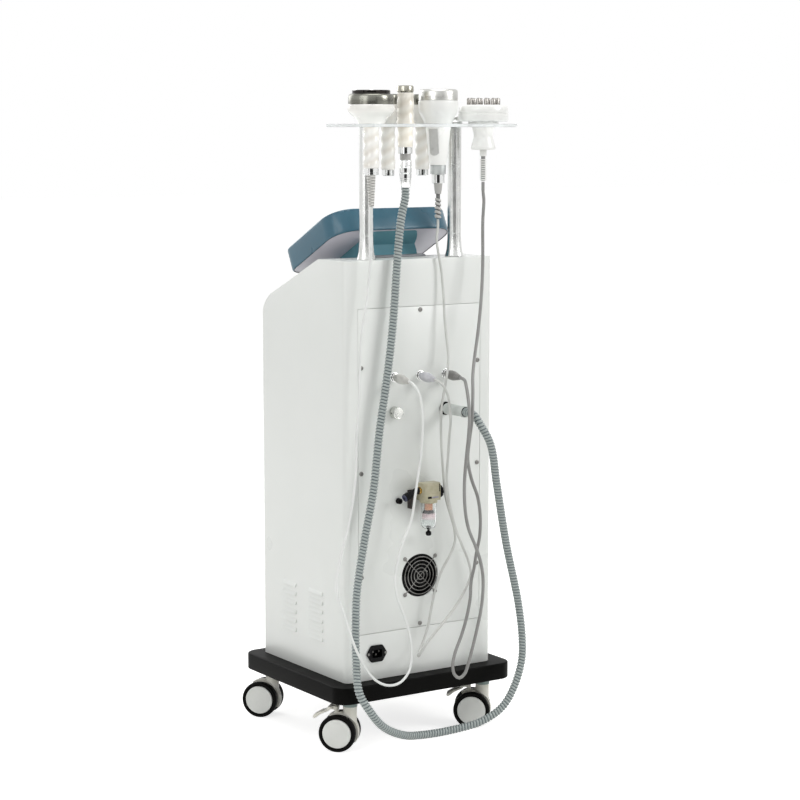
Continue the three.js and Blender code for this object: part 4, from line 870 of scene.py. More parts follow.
@dataclass(frozen=True)
class Studio:
    """Camera, floor, world and lamps. The machine's front faces -Y and the camera stands behind it."""

    azimuth: float = 146.539
    elevation: float = 7.208
    position: Triple = (2.3416, 3.6079, 1.2068)
    lens: float = 97.28
    sensor: float = 36.0
    floor_size: float = 60.0
    floor_glow: float = 0.74
    world_light: float = 0.38

    def camera(self) -> None:
        """Places the camera as the photograph was taken."""
        data = bpy.data.cameras.new("photo_camera")
        data.sensor_width = self.sensor
        data.lens = self.lens
        made = bpy.data.objects.new("photo_camera", data)
        turn, rise = math.radians(self.azimuth), math.radians(self.elevation)
        back = Vector((math.sin(turn) * math.cos(rise), -math.cos(turn) * math.cos(rise), math.sin(rise)))
        aimed(made, self.position, -back)
        bpy.context.scene.camera = made

    @staticmethod
    def seen_or_lit(tree: bpy.types.NodeTree, lit: float, seen: float) -> bpy.types.NodeSocket:
        """Gives one value to the camera, to metal and through clear plastic, and another to plain light.

        Args:
            tree: the node tree.
            lit: the value where the ray only carries light.
            seen: the value where the ray is seen.

        Returns:
            The socket with the value.
        """
        paths = add_node(tree, "ShaderNodeLightPath").outputs
        looking = paths["Is Camera Ray"]
        for kind in ("Is Glossy Ray", "Is Transmission Ray"):
            greater = add_node(tree, "ShaderNodeMath", {"operation": "MAXIMUM"})
            tree.links.new(looking, greater.inputs[0])
            tree.links.new(paths[kind], greater.inputs[1])
            looking = greater.outputs["Value"]
        return add_node(tree, "ShaderNodeMapRange", {"To Min": lit, "To Max": seen},
                        {"Value": looking}).outputs["Result"]

    def world(self) -> None:
        """Lights evenly, and shows white to the camera, to metal and through clear plastic."""
        made = bpy.data.worlds.new("studio_world")
        made.use_nodes = True
        tree = made.node_tree
        ground = tree.nodes["Background"]
        ground.inputs["Color"].default_value = linear("FFFFFF")
        tree.links.new(self.seen_or_lit(tree, self.world_light, 1.0), ground.inputs["Strength"])
        bpy.context.scene.world = made

    def floor(self) -> None:
        """Lays a plain pale floor that keeps the machine's soft shadow."""
        form = Form()
        bmesh.ops.create_grid(form.mesh, x_segments=1, y_segments=1, size=self.floor_size / 2)
        made = form.loose_object("studio_floor")
        material = plain_material("pale_floor", "E8E8E6")
        tree = material.node_tree
        inputs = tree.nodes["Principled BSDF"].inputs
        inputs["Roughness"].default_value = 0.9
        inputs["Specular IOR Level"].default_value = 0.0
        inputs["Emission Color"].default_value = linear("FFFFFF")
        tree.links.new(self.seen_or_lit(tree, 0.0, self.floor_glow), inputs["Emission Strength"])
        made.data.materials.append(material)

    @staticmethod
    def lamp(name: str, place: Triple, target: Triple, size: float, power: float) -> None:
        """Hangs a square soft box.

        Args:
            name: the lamp's name.
            place: where it hangs, in metres.
            target: what it points at, in metres.
            size: side of the square, in metres.
            power: its power in watts.
        """
        data = bpy.data.lights.new(name, "AREA")
        data.size = size
        data.energy = power
        aimed(bpy.data.objects.new(name, data), place, Vector(target) - Vector(place))

    @staticmethod
    def flag(name: str, place: Triple, size: tuple[float, float], heading: float) -> None:
        """Stands a black card where only mirrors see it.

        Args:
            name: the card's name.
            place: its middle, in metres.
            size: its width and height, in metres.
            heading: turn round Z, in degrees.
        """
        form = Form()
        bmesh.ops.create_grid(form.mesh, x_segments=1, y_segments=1, size=0.5)
        bmesh.ops.scale(form.mesh, vec=(*size, 1), verts=form.mesh.verts)
        made = form.rotated(90, "X").rotated(heading, "Z").moved(*place).loose_object(name)
        made.data.materials.append(plain_material(name, "0A0A0A"))
        for ray in ("camera", "diffuse", "shadow", "transmission"):
            setattr(made, f"visible_{ray}", False)

    def lights(self) -> None:
        """Hangs the key from the camera's right, a fill from its left and a top light."""
        self.lamp("key", (-2.6, 3.2, 2.6), (0, 0, 0.6), 1.6, 70)
        self.lamp("fill", (3.6, 1.4, 2.2), (0, 0, 0.6), 2.4, 46)
        self.lamp("front", (0.8, -3.6, 2.4), (0, 0, 0.7), 2.4, 44)
        self.lamp("top", (0.0, 0.4, 4.2), (0, 0, 0.5), 2.4, 56)

    def flags(self) -> None:
        """Stands the cards that draw dark streaks into chrome."""
        self.flag("left_card", (3.4, 0.9, 1.0), (0.35, 3.0), 75)
        self.flag("rear_card", (0.55, 4.6, 1.2), (0.4, 3.0), 0)
        self.flag("right_card", (-3.2, 1.6, 1.0), (0.45, 3.0), -65)
        self.flag("camera_card", (3.1, 4.9, 0.6), (5.0, 1.6), -33)

    def build(self) -> None:
        """Sets the whole stage."""
        self.camera()
        self.world()
        self.floor()
        self.lights()
        self.flags()
        bpy.context.scene.view_settings.view_transform = "Standard"


@dataclass(frozen=True)
class Cord:
    """A cable or hose from a handpiece to its socket, on the points of its real route."""

    name: str
    node: str
    body: str
    finish: Finish
    diameter: float
    route: tuple[Triple, ...]
    still_below: float
    carried_above: float
    on_it: tuple[str, ...]
    stiffness: str = "medium"

    def reach(self, distance: float, share: float) -> float:
        """Radius of the jacket at a place along it."""
        return self.diameter / 2

    def path(self) -> list[Vector]:
        """Centreline at even distances."""
        return smooth_path(self.route, self.diameter * 0.8)

    def form(self, path: Sequence[Vector]) -> Form:
        """Tube along the centreline."""
        return Form.tube(path, self.reach, 16)

    def build(self) -> bpy.types.Object:
        """Returns:
            The cord's object.
        """
        path = self.path()
        made = self.form(path).piece(self.name, self.finish, None, [self.node])
        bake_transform(made)
        return made


@dataclass(frozen=True)
class RibbedHose(Cord):
    """The vacuum hose, whose ribs wind round it."""

    valley: float = 12.6
    pitch: float = 6.2
    near: float = 12.0

    def crest(self, distance: float, share: float) -> float:
        """How far up the rib a place lies, from 0 in the groove to 1 on the crest."""
        phase = (distance / self.pitch + share) % 1.0
        wave = 0.5 + 0.5 * math.cos(math.tau * (phase - 0.5))
        return min(1.0, max(0.0, (wave - 0.12) * 3.0))

    def reach(self, distance: float, share: float) -> float:
        """Radius over the ribs."""
        rise = self.crest(distance, share)
        return (self.valley + (self.diameter - self.valley) * rise) / 2

    def path(self) -> list[Vector]:
        """Centreline with several rings for each rib."""
        return smooth_path(self.route, self.pitch / 6)

    def form(self, path: Sequence[Vector]) -> Form:
        """Ribbed tube that marks its crests, for the painted shade in its grooves.

        Args:
            path: points of the centreline.

        Returns:
            The marked tube.
        """
        made = Form.tube(path, self.reach, 24)
        # The crest mark carries painted shade: the finish paints the grooves darker
        layer = made.mesh.verts.layers.float.new("crest")
        nearest = 0
        low, high = self.valley / 2, self.diameter / 2
        for vert in made.mesh.verts:
            nearest = self.ring_of(vert.co, path, nearest)
            out = (vert.co - path[nearest]).length
            vert[layer] = min(1.0, max(0.0, (out - low) / (high - low)))
        return made

    def ring_of(self, point: Vector, path: Sequence[Vector], start: int) -> int:
        """Finds the ring nearest a point, looking first close to the last one found.

        Args:
            point: a corner of the hose.
            path: the middles of its rings.
            start: the last ring that was found.

        Returns:
            The ring's place in the path.
        """
        window = range(max(0, start - 3), min(len(path), start + 4))
        best = min(window, key=lambda index: (path[index] - point).length_squared)
        if (path[best] - point).length < self.near:
            return best
        return min(range(len(path)), key=lambda index: (path[index] - point).length_squared)


class Cords:
    """The hose and the three cables, each on its route in real millimetres."""

    hose = RibbedHose(
        "ribbed_vacuum_hose", "vacuum_hose", "small_vacuum_handpiece", HOSE_PVC, 16.0, (
            (38, 141, 1090.7), (38, 141, 1074.7), (52, 147, 1030), (64, 153, 957), (76, 157, 843),
            (86, 159, 770), (98, 160, 697), (111, 161, 624), (126, 163, 513), (149, 166, 416),
            (170, 172, 320), (178, 180, 250), (183, 189, 201), (190, 211, 136), (173, 221, 100),
            (140, 217, 63), (82, 201, 33), (37, 193, 24), (-33, 197, 24), (-95, 215, 37), (-139, 223, 61),
            (-170, 221, 98), (-191, 217, 147), (-194, 215, 187), (-186, 213, 259), (-146, 223, 394),
            (-110, 241, 514), (-85, 253, 599), (-65, 247, 637), (-60, 236, 652), (-59, 222, 657),
            (-59, 206.3, 657)), 700, 1070, ("cuff_sleeve", "cuff_mouth_shade_cup"))
    large = Cord(
        "large_head_cable", "large_cable", "large_vacuum_handpiece", JACKET_WHITE, 5.0, (
            (129, 162, 1055.7), (129, 162, 1040), (130, 161, 957), (139, 159, 873), (148, 157, 818),
            (155, 156, 676), (159, 156, 627), (163, 157, 541), (176, 159, 467), (195, 162, 408),
            (210, 166, 359), (214, 172, 325), (211, 177, 306), (207, 184, 287), (202, 201, 246),
            (191, 209, 211), (166, 211, 168), (141, 209, 147), (116, 206, 138), (90, 203, 140),
            (68, 199, 157), (60, 196, 182), (60, 193, 217), (67, 191, 249), (78, 189, 279), (87, 187, 304),
            (91, 185, 337), (85, 185, 375), (72, 187, 416), (57, 191, 455), (52, 197, 503), (48, 199, 535),
            (42, 202, 585), (41, 206, 636), (43, 208, 660), (47.5, 210, 685), (52, 210, 700),
            (56.5, 206, 712), (59.5, 198, 719.5), (60, 191, 721.6), (60, 186.3, 722)), 760, 1035,
        ("plug_left_body", "large_relief"), "limp")
    cavitation = Cord(
        "cavitation_head_cable", "cavitation_cable", "cavitation_handpiece", JACKET_PALE, 5.0, (
            (-37, 142.5, 1028.4), (-37, 142.5, 1014), (-34, 143, 988), (-43, 145, 930), (-46, 149, 880),
            (-46, 153, 837), (-48, 158, 792), (-47, 164, 761), (-43, 168, 738), (-36, 170, 706),
            (-29, 170, 674), (-27, 169, 644), (-29, 167, 601), (-34, 165, 549), (-43, 163, 484),
            (-56, 162, 445), (-65, 161, 418), (-67, 160, 392), (-56, 159, 367), (-38, 158, 339),
            (-22, 157, 299), (-14, 157, 269), (-5, 158, 232), (6, 161, 208), (19, 167, 190), (31, 177, 181),
            (37, 188, 182), (35, 196, 193), (27, 200, 208), (12, 203, 225), (-9, 203, 244), (-32, 202, 265),
            (-55, 200, 290), (-74, 198, 318), (-80, 197, 333), (-76, 195, 356), (-62, 193, 390),
            (-48, 191, 424), (-40, 190, 451), (-31, 189, 489), (-27, 189, 527), (-30, 190, 577),
            (-31, 191, 604), (-33, 193, 641), (-28, 197, 668), (-20, 202, 692), (-11, 202, 709),
            (-4, 198, 718), (-0.3, 191, 721.6), (0, 186.3, 722)), 760, 1010,
        ("plug_middle_body", "cavitation_relief"), "limp")
    multipolar = Cord(
        "multipolar_head_cable", "multipolar_cable", "multipolar_handpiece", JACKET_GREY, 6.4, (
            (-129, 163.5, 1100), (-129, 163.5, 1082), (-130, 165, 1064), (-127, 166, 1023), (-123, 172, 943),
            (-115, 179, 878), (-100, 190, 813), (-82, 204, 764), (-67, 219, 729), (-56, 235, 694),
            (-45, 248, 647), (-40, 247, 610), (-41, 240, 571), (-56, 231, 530), (-77, 223, 490),
            (-87, 218, 450), (-88, 215, 411), (-82, 213, 379), (-77, 212, 348), (-71, 211, 323),
            (-69, 210, 285), (-61, 209, 248), (-50, 208, 215), (-36, 208, 185), (-28, 210, 158),
            (-31, 212, 140), (-40, 215, 132.5), (-50, 219, 140), (-57, 221.5, 160), (-65, 224, 190),
            (-74, 226, 226), (-84, 228, 274), (-86, 230, 325), (-78, 232, 364), (-64, 234, 397),
            (-46, 237, 432), (-34, 242, 471), (-27, 249, 523), (-27, 256, 582), (-30, 258, 620),
            (-35, 254, 655), (-42, 240, 684), (-52, 219, 707), (-59, 203, 718.5), (-60, 191.5, 721.6),
            (-60, 186.3, 722)), 760, 1080, ("plug_right_body", "multipolar_relief"), "limp")

    def build(self) -> None:
        """Makes the hose and the cables."""
        for cord in (self.hose, self.large, self.cavitation, self.multipolar):
            cord.build()


def screw_head(diameter: float, height: float) -> Form:
    """Makes a domed screw head with a crossed recess, standing on the plane Z = 0.

    Args:
        diameter: width of the head.
        height: height of the dome.

    Returns:
        The head, turned round Z.
    """
    radius = diameter / 2
    dome = [(0, -0.2), (radius, -0.2), (radius, height * 0.35), (radius * 0.93, height * 0.62),
            (radius * 0.74, height * 0.86), (radius * 0.4, height), (0, height)]
    half, deep = radius * 0.58, height * 0.45
    arms = [Form.block((-half, -radius * 0.1, deep), (half, radius * 0.1, height + 1)),
            Form.block((-radius * 0.1, -half, deep), (radius * 0.1, half, height + 1))]
    return Form.turned(dome, 24).cut(*arms)


@dataclass
class Cabinet:
    """Folded sheet shell with its pressed louvres, on the black tray."""

    half_width: float = 172.5
    wall: float = 2.5
    corner: float = 12.0
    flat_top: float = 97.0
    slope: float = 23.0
    nose: float = 70.0
    fold: float = 1.2
    louvre: Triple = (51.3, 7.0, 3.5)
    louvre_sheet: float = 1.2
    louvre_top: float = 299.3
    louvre_pitch: float = 18.36
    louvre_rows: int = 6
    louvre_rear_ends: tuple[float, float] = (51.1, -50.1)
    seam: float = 0.8
    inlet_half: tuple[float, float] = (14.0, 10.5)

    def hull(self, inset: float) -> Form:
        """Closed outer form of the sheet, drawn in by an inset.

        Args:
            inset: how far the form is drawn in.

        Returns:
            The closed form.
        """
        spot = Spot.of("cabinet_shell")
        rear, front = spot.high.y - inset, spot.low.y + inset
        foot, top = spot.low.z + inset, spot.high.z - inset
        angle = math.radians(self.slope)
        fold_y = spot.high.y - self.flat_top + inset * math.tan(angle / 2)
        front_top = top - (fold_y - front) * math.tan(angle)
        side = [(rear, foot), (rear, top), (fold_y, top), (front, front_top), (front, foot)]
        half = self.half_width - inset
        turn = math.pi / 2 - angle
        form = Form.slab(side, -half, half, Plane.YZ)
        form.rounded((self.nose - inset) * math.tan(turn / 2), X, 12,
                     lambda at: at.z > front_top - 1 and at.y < 0)
        plan = Form.block((-half, front, foot - 1), (half, rear, top + 1)).rounded(self.corner - inset, Z, 8)
        return form.common(plan)

    def hood(self) -> Form:
        """One pressed hood, with its rear end at the origin and its root on the plane X = 0.

        Returns:
            The open hood.
        """
        length, slot, depth = self.louvre
        side = [(-0.6, self.louvre_sheet), (-0.6, -slot), (depth, -slot), (depth, -slot + 1.2),
                (0.0, self.louvre_sheet)]
        form = Form.slab(side, -length, 0, Plane.XZ)
        form.rounded(1.6, Y, 3, lambda at: at.x > depth - 0.1 and at.z > -slot + 1)
        form.opened(lambda at: at.z < -slot + 0.01 or at.x < -0.59)
        return form.thickened(self.louvre_sheet * 0.7)

    def shell(self) -> None:
        """Shell with its window, slots and hoods."""
        length, slot, _ = self.louvre
        rear = Spot.of("cabinet_shell").high.y
        panel, inlet = Spot.of("service_panel"), Spot.of("mains_inlet").centre
        seam, wide, high = self.seam, *self.inlet_half
        tools = [Form.block((panel.low.x - seam, rear - self.wall - 1, panel.low.z - seam),
                            (panel.high.x + seam, rear + 1, panel.high.z + seam)),
                 Form.block((inlet.x - wide, rear - 5, inlet.z - high),
                            (inlet.x + wide, rear + 1, inlet.z + high))]
        hoods = []
        for side, rear_end, row in product((-1, 1), self.louvre_rear_ends, range(self.louvre_rows)):
            level = self.louvre_top - row * self.louvre_pitch
            pair = [self.hood().moved(self.half_width, rear_end, level),
                    Form.block((self.half_width - 6, rear_end - length + 1, level - slot),
                               (self.half_width + 0.7, rear_end - 1, level - self.louvre_sheet))]
            if side < 0:
                pair = [form.rotated(180, "Z", (0, rear_end - length / 2, 0)) for form in pair]
            hoods.append(pair[0])
            tools.append(pair[1])
        sheet = self.hull(0).softened(self.fold, 3, 50).cut(self.hull(self.wall)).cut(Form().with_(*tools))
        sheet.with_(*hoods).piece("cabinet_sheet", POWDER_COAT, stands_for=["cabinet_shell"], sharp=28)

    def flange(self) -> None:
        """Frame behind the window that the service panel is screwed to."""
        panel, rear = Spot.of("service_panel"), Spot.of("cabinet_shell").high.y
        (low_x, _, low_z), (high_x, _, high_z) = panel.low, panel.high
        frame = Form.block((low_x - 8, rear - 6, low_z - 8), (high_x + 8, rear - self.wall - 1, high_z + 8))
        hole = Form.block((low_x + 12, rear - 9, low_z + 12), (high_x - 12, rear, high_z - 12))
        frame.cut(hole).piece("panel_flange", POWDER_COAT)

    def build(self) -> None:
        """Makes the shell, the flange and the tray."""
        self.shell()
        self.flange()
        tray = Spot.of("base_tray")
        form = Form.block(tray.low, tray.high).rounded(30, Z, 10).softened(2.6, 4, 60)
        form.piece("tray_moulding", BLACK_ABS, stands_for=["base_tray"])


@dataclass
class ServicePanel:
    """Screwed rear panel and what stands on it: sockets, plugs, knob, hose fittings and the tube port."""

    sheet_edge: float = 0.5
    screw: tuple[float, float] = (9.0, 2.6)
    screw_inset: float = 6.5
    screw_rows: tuple[float, ...] = (0.178, 0.499, 0.822)
    openings: tuple[tuple[str, float], ...] = (
        ("socket_left", 15.6), ("socket_middle", 15.6), ("socket_right", 15.6), ("hose_socket", 18.6),
        ("tube_port", 9.6), ("vacuum_knob", 6.6), ("fan_frame", 85.5))
    plug_droop: float = 4.6
    plug_start: float = 7.2
    plug_length: float = 42.8
    plug_width: float = 19.0
    knob_inset: float = 5.0
    plug_shares: tuple[tuple[float, float], ...] = (
        (0.74, 0.0), (0.8, 0.02), (0.8, 0.08), (0.7, 0.1), (0.7, 0.13), (0.92, 0.17), (0.99, 0.3),
        (1.0, 0.42), (0.97, 0.52), (0.87, 0.63), (0.78, 0.68), (0.78, 0.7), (0.7, 0.71), (0.7, 0.74),
        (0.72, 0.75), (0.68, 0.8), (0.6, 0.81), (0.6, 0.84), (0.63, 0.85), (0.57, 0.9), (0.5, 0.91),
        (0.5, 0.93), (0.52, 0.94), (0.46, 1.0))

    @property
    def face(self) -> float:
        """How far back the seat of the screws and fittings lies."""
        return Spot.of("service_panel").high.y - self.screw[1]

    def stand(self, form: Form, node: str, name: str, finish: Finish, stands_for: Sequence[str] = ()) -> None:
        """Stands a turned form on the panel, over the middle of a node.

        Args:
            form: the form, turned round Z.
            node: the frame node that it stands over.
            name: the piece's name.
            finish: its surface.
            stands_for: frame nodes that it replaces.
        """
        form.along_y().behind(Spot.of(node).centre, self.face).piece(name, finish, stands_for=stands_for)

    def sheet(self) -> None:
        """Panel sheet with a softened edge and its holes, and its eight screws."""
        spot = Spot.of("service_panel")
        form = Form.block(spot.low, (spot.high.x, self.face, spot.high.z)).softened(self.sheet_edge, 2)
        holes = [Form.rod(width, -20, 20, 72).along_y().behind(Spot.of(node).centre, spot.high.y)
                 for node, width in self.openings]
        form.cut(Form().with_(*holes)).piece("panel_sheet", POWDER_COAT, stands_for=["service_panel"])
        edge = spot.high.x - self.screw_inset
        places = [(0, spot.high.z - self.screw_inset), (0, spot.low.z + self.screw_inset)]
        for share in self.screw_rows:
            height = spot.low.z + share * spot.size.z
            places += [(-edge, height), (edge, height)]
        head = screw_head(*self.screw).along_y()
        heads = [head.copy().rotated(31 * index, "Y").moved(x, self.face, z)
                 for index, (x, z) in enumerate(places)]
        Form().with_(*heads).piece("panel_screws", ZINC)

    def sockets(self) -> None:
        """Three round sockets with their overmoulded plugs."""
        parts = (
            ("flange", CHROME, 64, 0.25, [(0, 0.3), (10, 0.3), (10, 1.4), (9.4, 2.2), (8.3, 2.4), (8.3, 1.6),
                                          (7.6, 1.6), (0, 1.6)]),
            ("insert", BLACK_NYLON, 48, 0.3, [(0, 1.5), (8.0, 1.5), (8.0, 4.2), (0, 4.2)]),
            ("shell", CHROME, 64, 0.2, [(0, 4.1), (8.2, 4.1), (8.4, 4.5), (8.4, 6.2), (7.6, 6.6), (0, 6.6)]))
        plug = capped(shared(self.plug_shares, self.plug_width, self.plug_length, self.plug_start))
        for side, finish in (("left", PLUG_PEARL), ("middle", PLUG_LAVENDER), ("right", PLUG_DARK)):
            node = f"socket_{side}"
            for part, surface, steps, edge, outline in parts:
                form = Form.turned(outline, steps).softened(edge)
                self.stand(form, node, f"{node}_{part}", surface, [node] if part == "flange" else ())
            body = Form.turned(plug, 48).softened(0.3, 2, 40).along_y().rotated(-self.plug_droop, "X")
            body.behind(Spot.of(node).centre, self.face)
            body.piece(f"plug_{side}_body", finish, stands_for=[f"plug_{side}"])

    def hose_fittings(self) -> None:
        """Hose socket, and the cuff with a black cup in its mouth, painted shade where the hose goes in."""
        end = Spot.of("hose_cuff").high.y - self.face
        collar = [(0, 0.3), (13, 0.3), (13, 3.2), (12.2, 4), (10.2, 4), (10.2, 6.0), (0, 6.0)]
        self.stand(Form.turned(collar).softened(0.4), "hose_cuff", "hose_socket_collar", BLACK_NYLON,
                   ["hose_socket"])
        sleeve = [(7.0, 6.3), (9.9, 6.3), (11.0, 8.5), (11.0, 20)]
        for index in range(9):
            start, taper = 20 + index * 3.9, 0.09 * index
            sleeve += [(10.9 - taper, start + 0.6), (10.6 - taper, start + 1.2), (10.85 - taper, start + 1.9),
                       (10.85 - taper, start + 3.6)]
        sleeve += [(10.1, end - 8.2), (11.2, end - 7.4), (11.2, end - 0.8), (10.6, end), (9.4, end),
                   (9.2, end - 5), (7.0, end - 5)]
        self.stand(Form.turned(sleeve, closed=True).softened(0.25, 2, 40), "hose_cuff", "cuff_sleeve",
                   CUFF_PVC, ["hose_cuff"])
        # The black cup in the cuff's mouth is painted shade over the hose's first turns
        mouth = [(0, end - 4.9), (9.1, end - 4.9), (9.1, end - 0.6), (8.3, end - 0.6), (8.3, end - 4.0),
                 (0, end - 4.0)]
        self.stand(Form.turned(mouth, 48), "hose_cuff", "cuff_mouth_shade_cup", BLACK_NYLON)

    def port(self) -> None:
        """Black tube port with its release ring."""
        outline = [(0, 0.3), (5.8, 0.3), (5.8, 4.4), (5.4, 5), (4.9, 5), (4.9, 5.8), (5.4, 6.1), (5.4, 8.2),
                   (5, 8.8), (3.1, 8.8), (3.1, 4), (0, 4)]
        self.stand(Form.turned(outline, 48).softened(0.3, 2, 40), "tube_port", "tube_port_body", BLACK_NYLON,
                   ["tube_port"])

    def knob(self) -> None:
        """Turned aluminium knob with a set-screw hole in its side."""
        spot = Spot.of("vacuum_knob")
        at, node = spot.centre, "vacuum_knob"
        end = spot.high.y - self.face - self.knob_inset
        outline = [(0, -12), (3, -12), (3, 1.2), (12, 1.2), (12, end - 1.2), (10.9, end), (10.2, end),
                   (9.9, end - 0.35), (0, end - 0.35)]
        hole = Form.rod(3.2, 7, 14, 24).along_x().moved(0, 7.2)
        form = Form.turned(outline, 96).softened(0.25, 2, 40).along_y().cut(hole)
        screw = Form.rod(2.8, 7.2, 9.2, 6).along_x().moved(0, 7.2).behind(at, self.face)
        screw.piece("knob_set_screw", BLACK_NYLON, node)
        finish = replace(SATIN_ALUMINIUM, name="lathe_turned_aluminium", colour="DADBD7", shade="CACBC7",
                         roughness=0.24, stretch=(1.0, 1.0, 1.0), relief=Relief.TURNED, grain=0.9, depth=0.03,
                         centre=(at.x, 0.0, at.z))
        form.behind(at, self.face).piece("knob_cap", finish, node, [node])

    def build(self) -> None:
        """Makes the panel and its fittings."""
        self.sheet()
        self.sockets()
        self.hose_fittings()
        self.port()
        self.knob()


@dataclass
class CoolingFan:
    """Fan frame, rotor and wire guard."""

    bore: float = 76.0
    hub: float = 31.0
    blades: int = 7
    blade_angle: float = 35.0
    wire: float = 1.7
    first_ring: float = 7.9
    ring_step: float = 7.33
    rings: int = 5
    hole_pitch: float = 71.5

    def frame(self) -> None:
        """Square frame with a round bore, struts and a bearing plate at its inner end."""
        spot = Spot.of("fan_frame")
        at = spot.centre
        form = Form.block(spot.low, spot.high).rounded(4, Y, 4)
        form.cut(Form.rod(self.bore, -20, 20, 72).along_y().moved(*at))
        boss = Form.rod(self.hub, 0, 4, 48).along_y().behind(at, spot.low.y)
        struts = [Form.block((-2.5, 0, 0), (2.5, 4, 39)).rotated(120 * turn, "Y").behind(at, spot.low.y)
                  for turn in range(3)]
        form.with_(boss, *struts).piece("fan_housing", BLACK_NYLON, stands_for=["fan_frame"])

    def rotor(self) -> None:
        """Hub with a stepped face and its swept blades."""
        spot = Spot.of("fan_rotor")
        at = spot.centre
        front, back = spot.low.y, spot.high.y
        outline = [(0, front), (14.5, front), (15.5, front + 1), (15.5, back - 1.4), (14.4, back), (9, back),
                   (8.5, back - 0.5), (0, back - 0.5)]
        hub = Form.turned(outline, 48).along_y()
        section = [(-9.5, 0), (-4, 1.3), (0, 1.6), (4, 1.3), (9.5, 0), (9.5, 1.2), (4, 2.7), (0, 3.2),
                   (-4, 2.7), (-9.5, 1.2)]
        blades = []
        for turn in range(self.blades):
            blade = Form.slab(section, 13.5, 35.0).rotated(self.blade_angle, "Z")
            blade.moved(0, (front + back) / 2)
            blade.warped(lambda co: Vector((co.x, (co.y - at.y) * (1 - 0.007 * (co.z - 14)) + at.y, co.z)))
            blades.append(blade.rotated(360 * turn / self.blades, "Y"))
        hub.with_(*blades).moved(at.x, 0, at.z).piece("fan_blades", BLACK_NYLON, "fan", ["fan_rotor"])

    def guard(self) -> None:
        """Zinc-plated rings on crossed wires, with an eye and a screw at each end."""
        spot = Spot.of("fan_guard")
        at, seat = spot.centre, spot.low.y
        level = seat + self.wire * 1.35
        radii = [self.first_ring + self.ring_step * index for index in range(self.rings)]
        forms = [Form.wire_ring(radius, self.wire).along_y().moved(0, level) for radius in radii]
        reach, low = self.hole_pitch / math.sqrt(2), seat + self.wire / 2
        forms += [Form.rod(self.wire, -reach, reach, 12).softened(0.2).rotated(turn, "Y").moved(0, low)
                  for turn in (45, 135)]
        heads = []
        for turn in (45, 135, 225, 315):
            eye = Form.wire_ring(3.4, self.wire, 32).along_y()
            forms.append(eye.moved(reach, low).rotated(turn, "Y"))
            head = screw_head(6.6, 2.4).along_y().rotated(turn, "Y")
            heads.append(head.moved(reach, seat + 0.7).rotated(turn, "Y"))
        Form().with_(*forms).behind(at, 0).piece("guard_wires", ZINC, stands_for=["fan_guard"])
        Form().with_(*heads).behind(at, 0).piece("guard_screws", ZINC)

    def build(self) -> None:
        """Makes the whole fan."""
        self.frame()
        self.rotor()
        self.guard()


@dataclass
class MainsInlet:
    """Six-sided inlet flange with a deep pocket, three pins and two screws."""

    flat: float = 13.0
    pocket: Triple = (11.5, 16.0, 8.0)

    def build(self) -> None:
        """Makes the flange, the pins and the screws."""
        spot = Spot.of("mains_inlet")
        at = spot.centre
        half_x, half_z = spot.size.x / 2, spot.size.z / 2
        outer = spot.high.y - 1
        seat = outer - 3
        flange = [(self.flat, -half_z), (half_x, 0), (self.flat, half_z), (-self.flat, half_z), (-half_x, 0),
                  (-self.flat, -half_z)]
        form = Form.slab(flange, seat, outer, Plane.XZ).rounded(2.5, Y, 4).softened(0.7, 3, 60)
        wide, deep, high = self.pocket
        pocket = Form.block((-wide, outer - deep, -high), (wide, outer + 5, high))
        pocket.rounded(4.0, Y, 3, lambda edge: edge.z < 0).rounded(1.0, Y, 3, lambda edge: edge.z > 0)
        shroud = Form.block((-13.5, spot.low.y, -10), (13.5, seat + 0.2, 10)).rounded(2, Y, 3)
        lip = Form.block((-wide - 1.6, outer - 1, -high - 1.6), (wide + 1.6, outer + 0.7, high + 1.6))
        lip.rounded(4.6, Y, 3).softened(0.3, 2, 60)
        cutters = [pocket.copy(), pocket.copy(), pocket]
        solids = [item.cut(tool) for item, tool in zip((form, shroud, lip), cutters)]
        Form().with_(*solids).behind(at, 0).piece("inlet_flange", BLACK_NYLON, stands_for=["mains_inlet"])
        top = high - 2.5
        pins = [Form.block((x - 1.6, outer - deep - 1, foot), (x + 1.6, outer - 4, foot + 4)).softened(0.5)
                for x, foot in ((-7, top - 4), (7, top - 4), (0, -4.5))]
        finish = replace(ZINC, name="brass_pin_nickel", colour="5C5B58", shade="454441")
        Form().with_(*pins).behind(at, 0).piece("inlet_pins", finish)
        heads = [screw_head(5.4, 1.4).along_y().rotated(20 * side, "Y").moved(side * 19.5 + at.x, outer, at.z)
                 for side in (-1, 1)]
        Form().with_(*heads).piece("inlet_screws", ZINC)


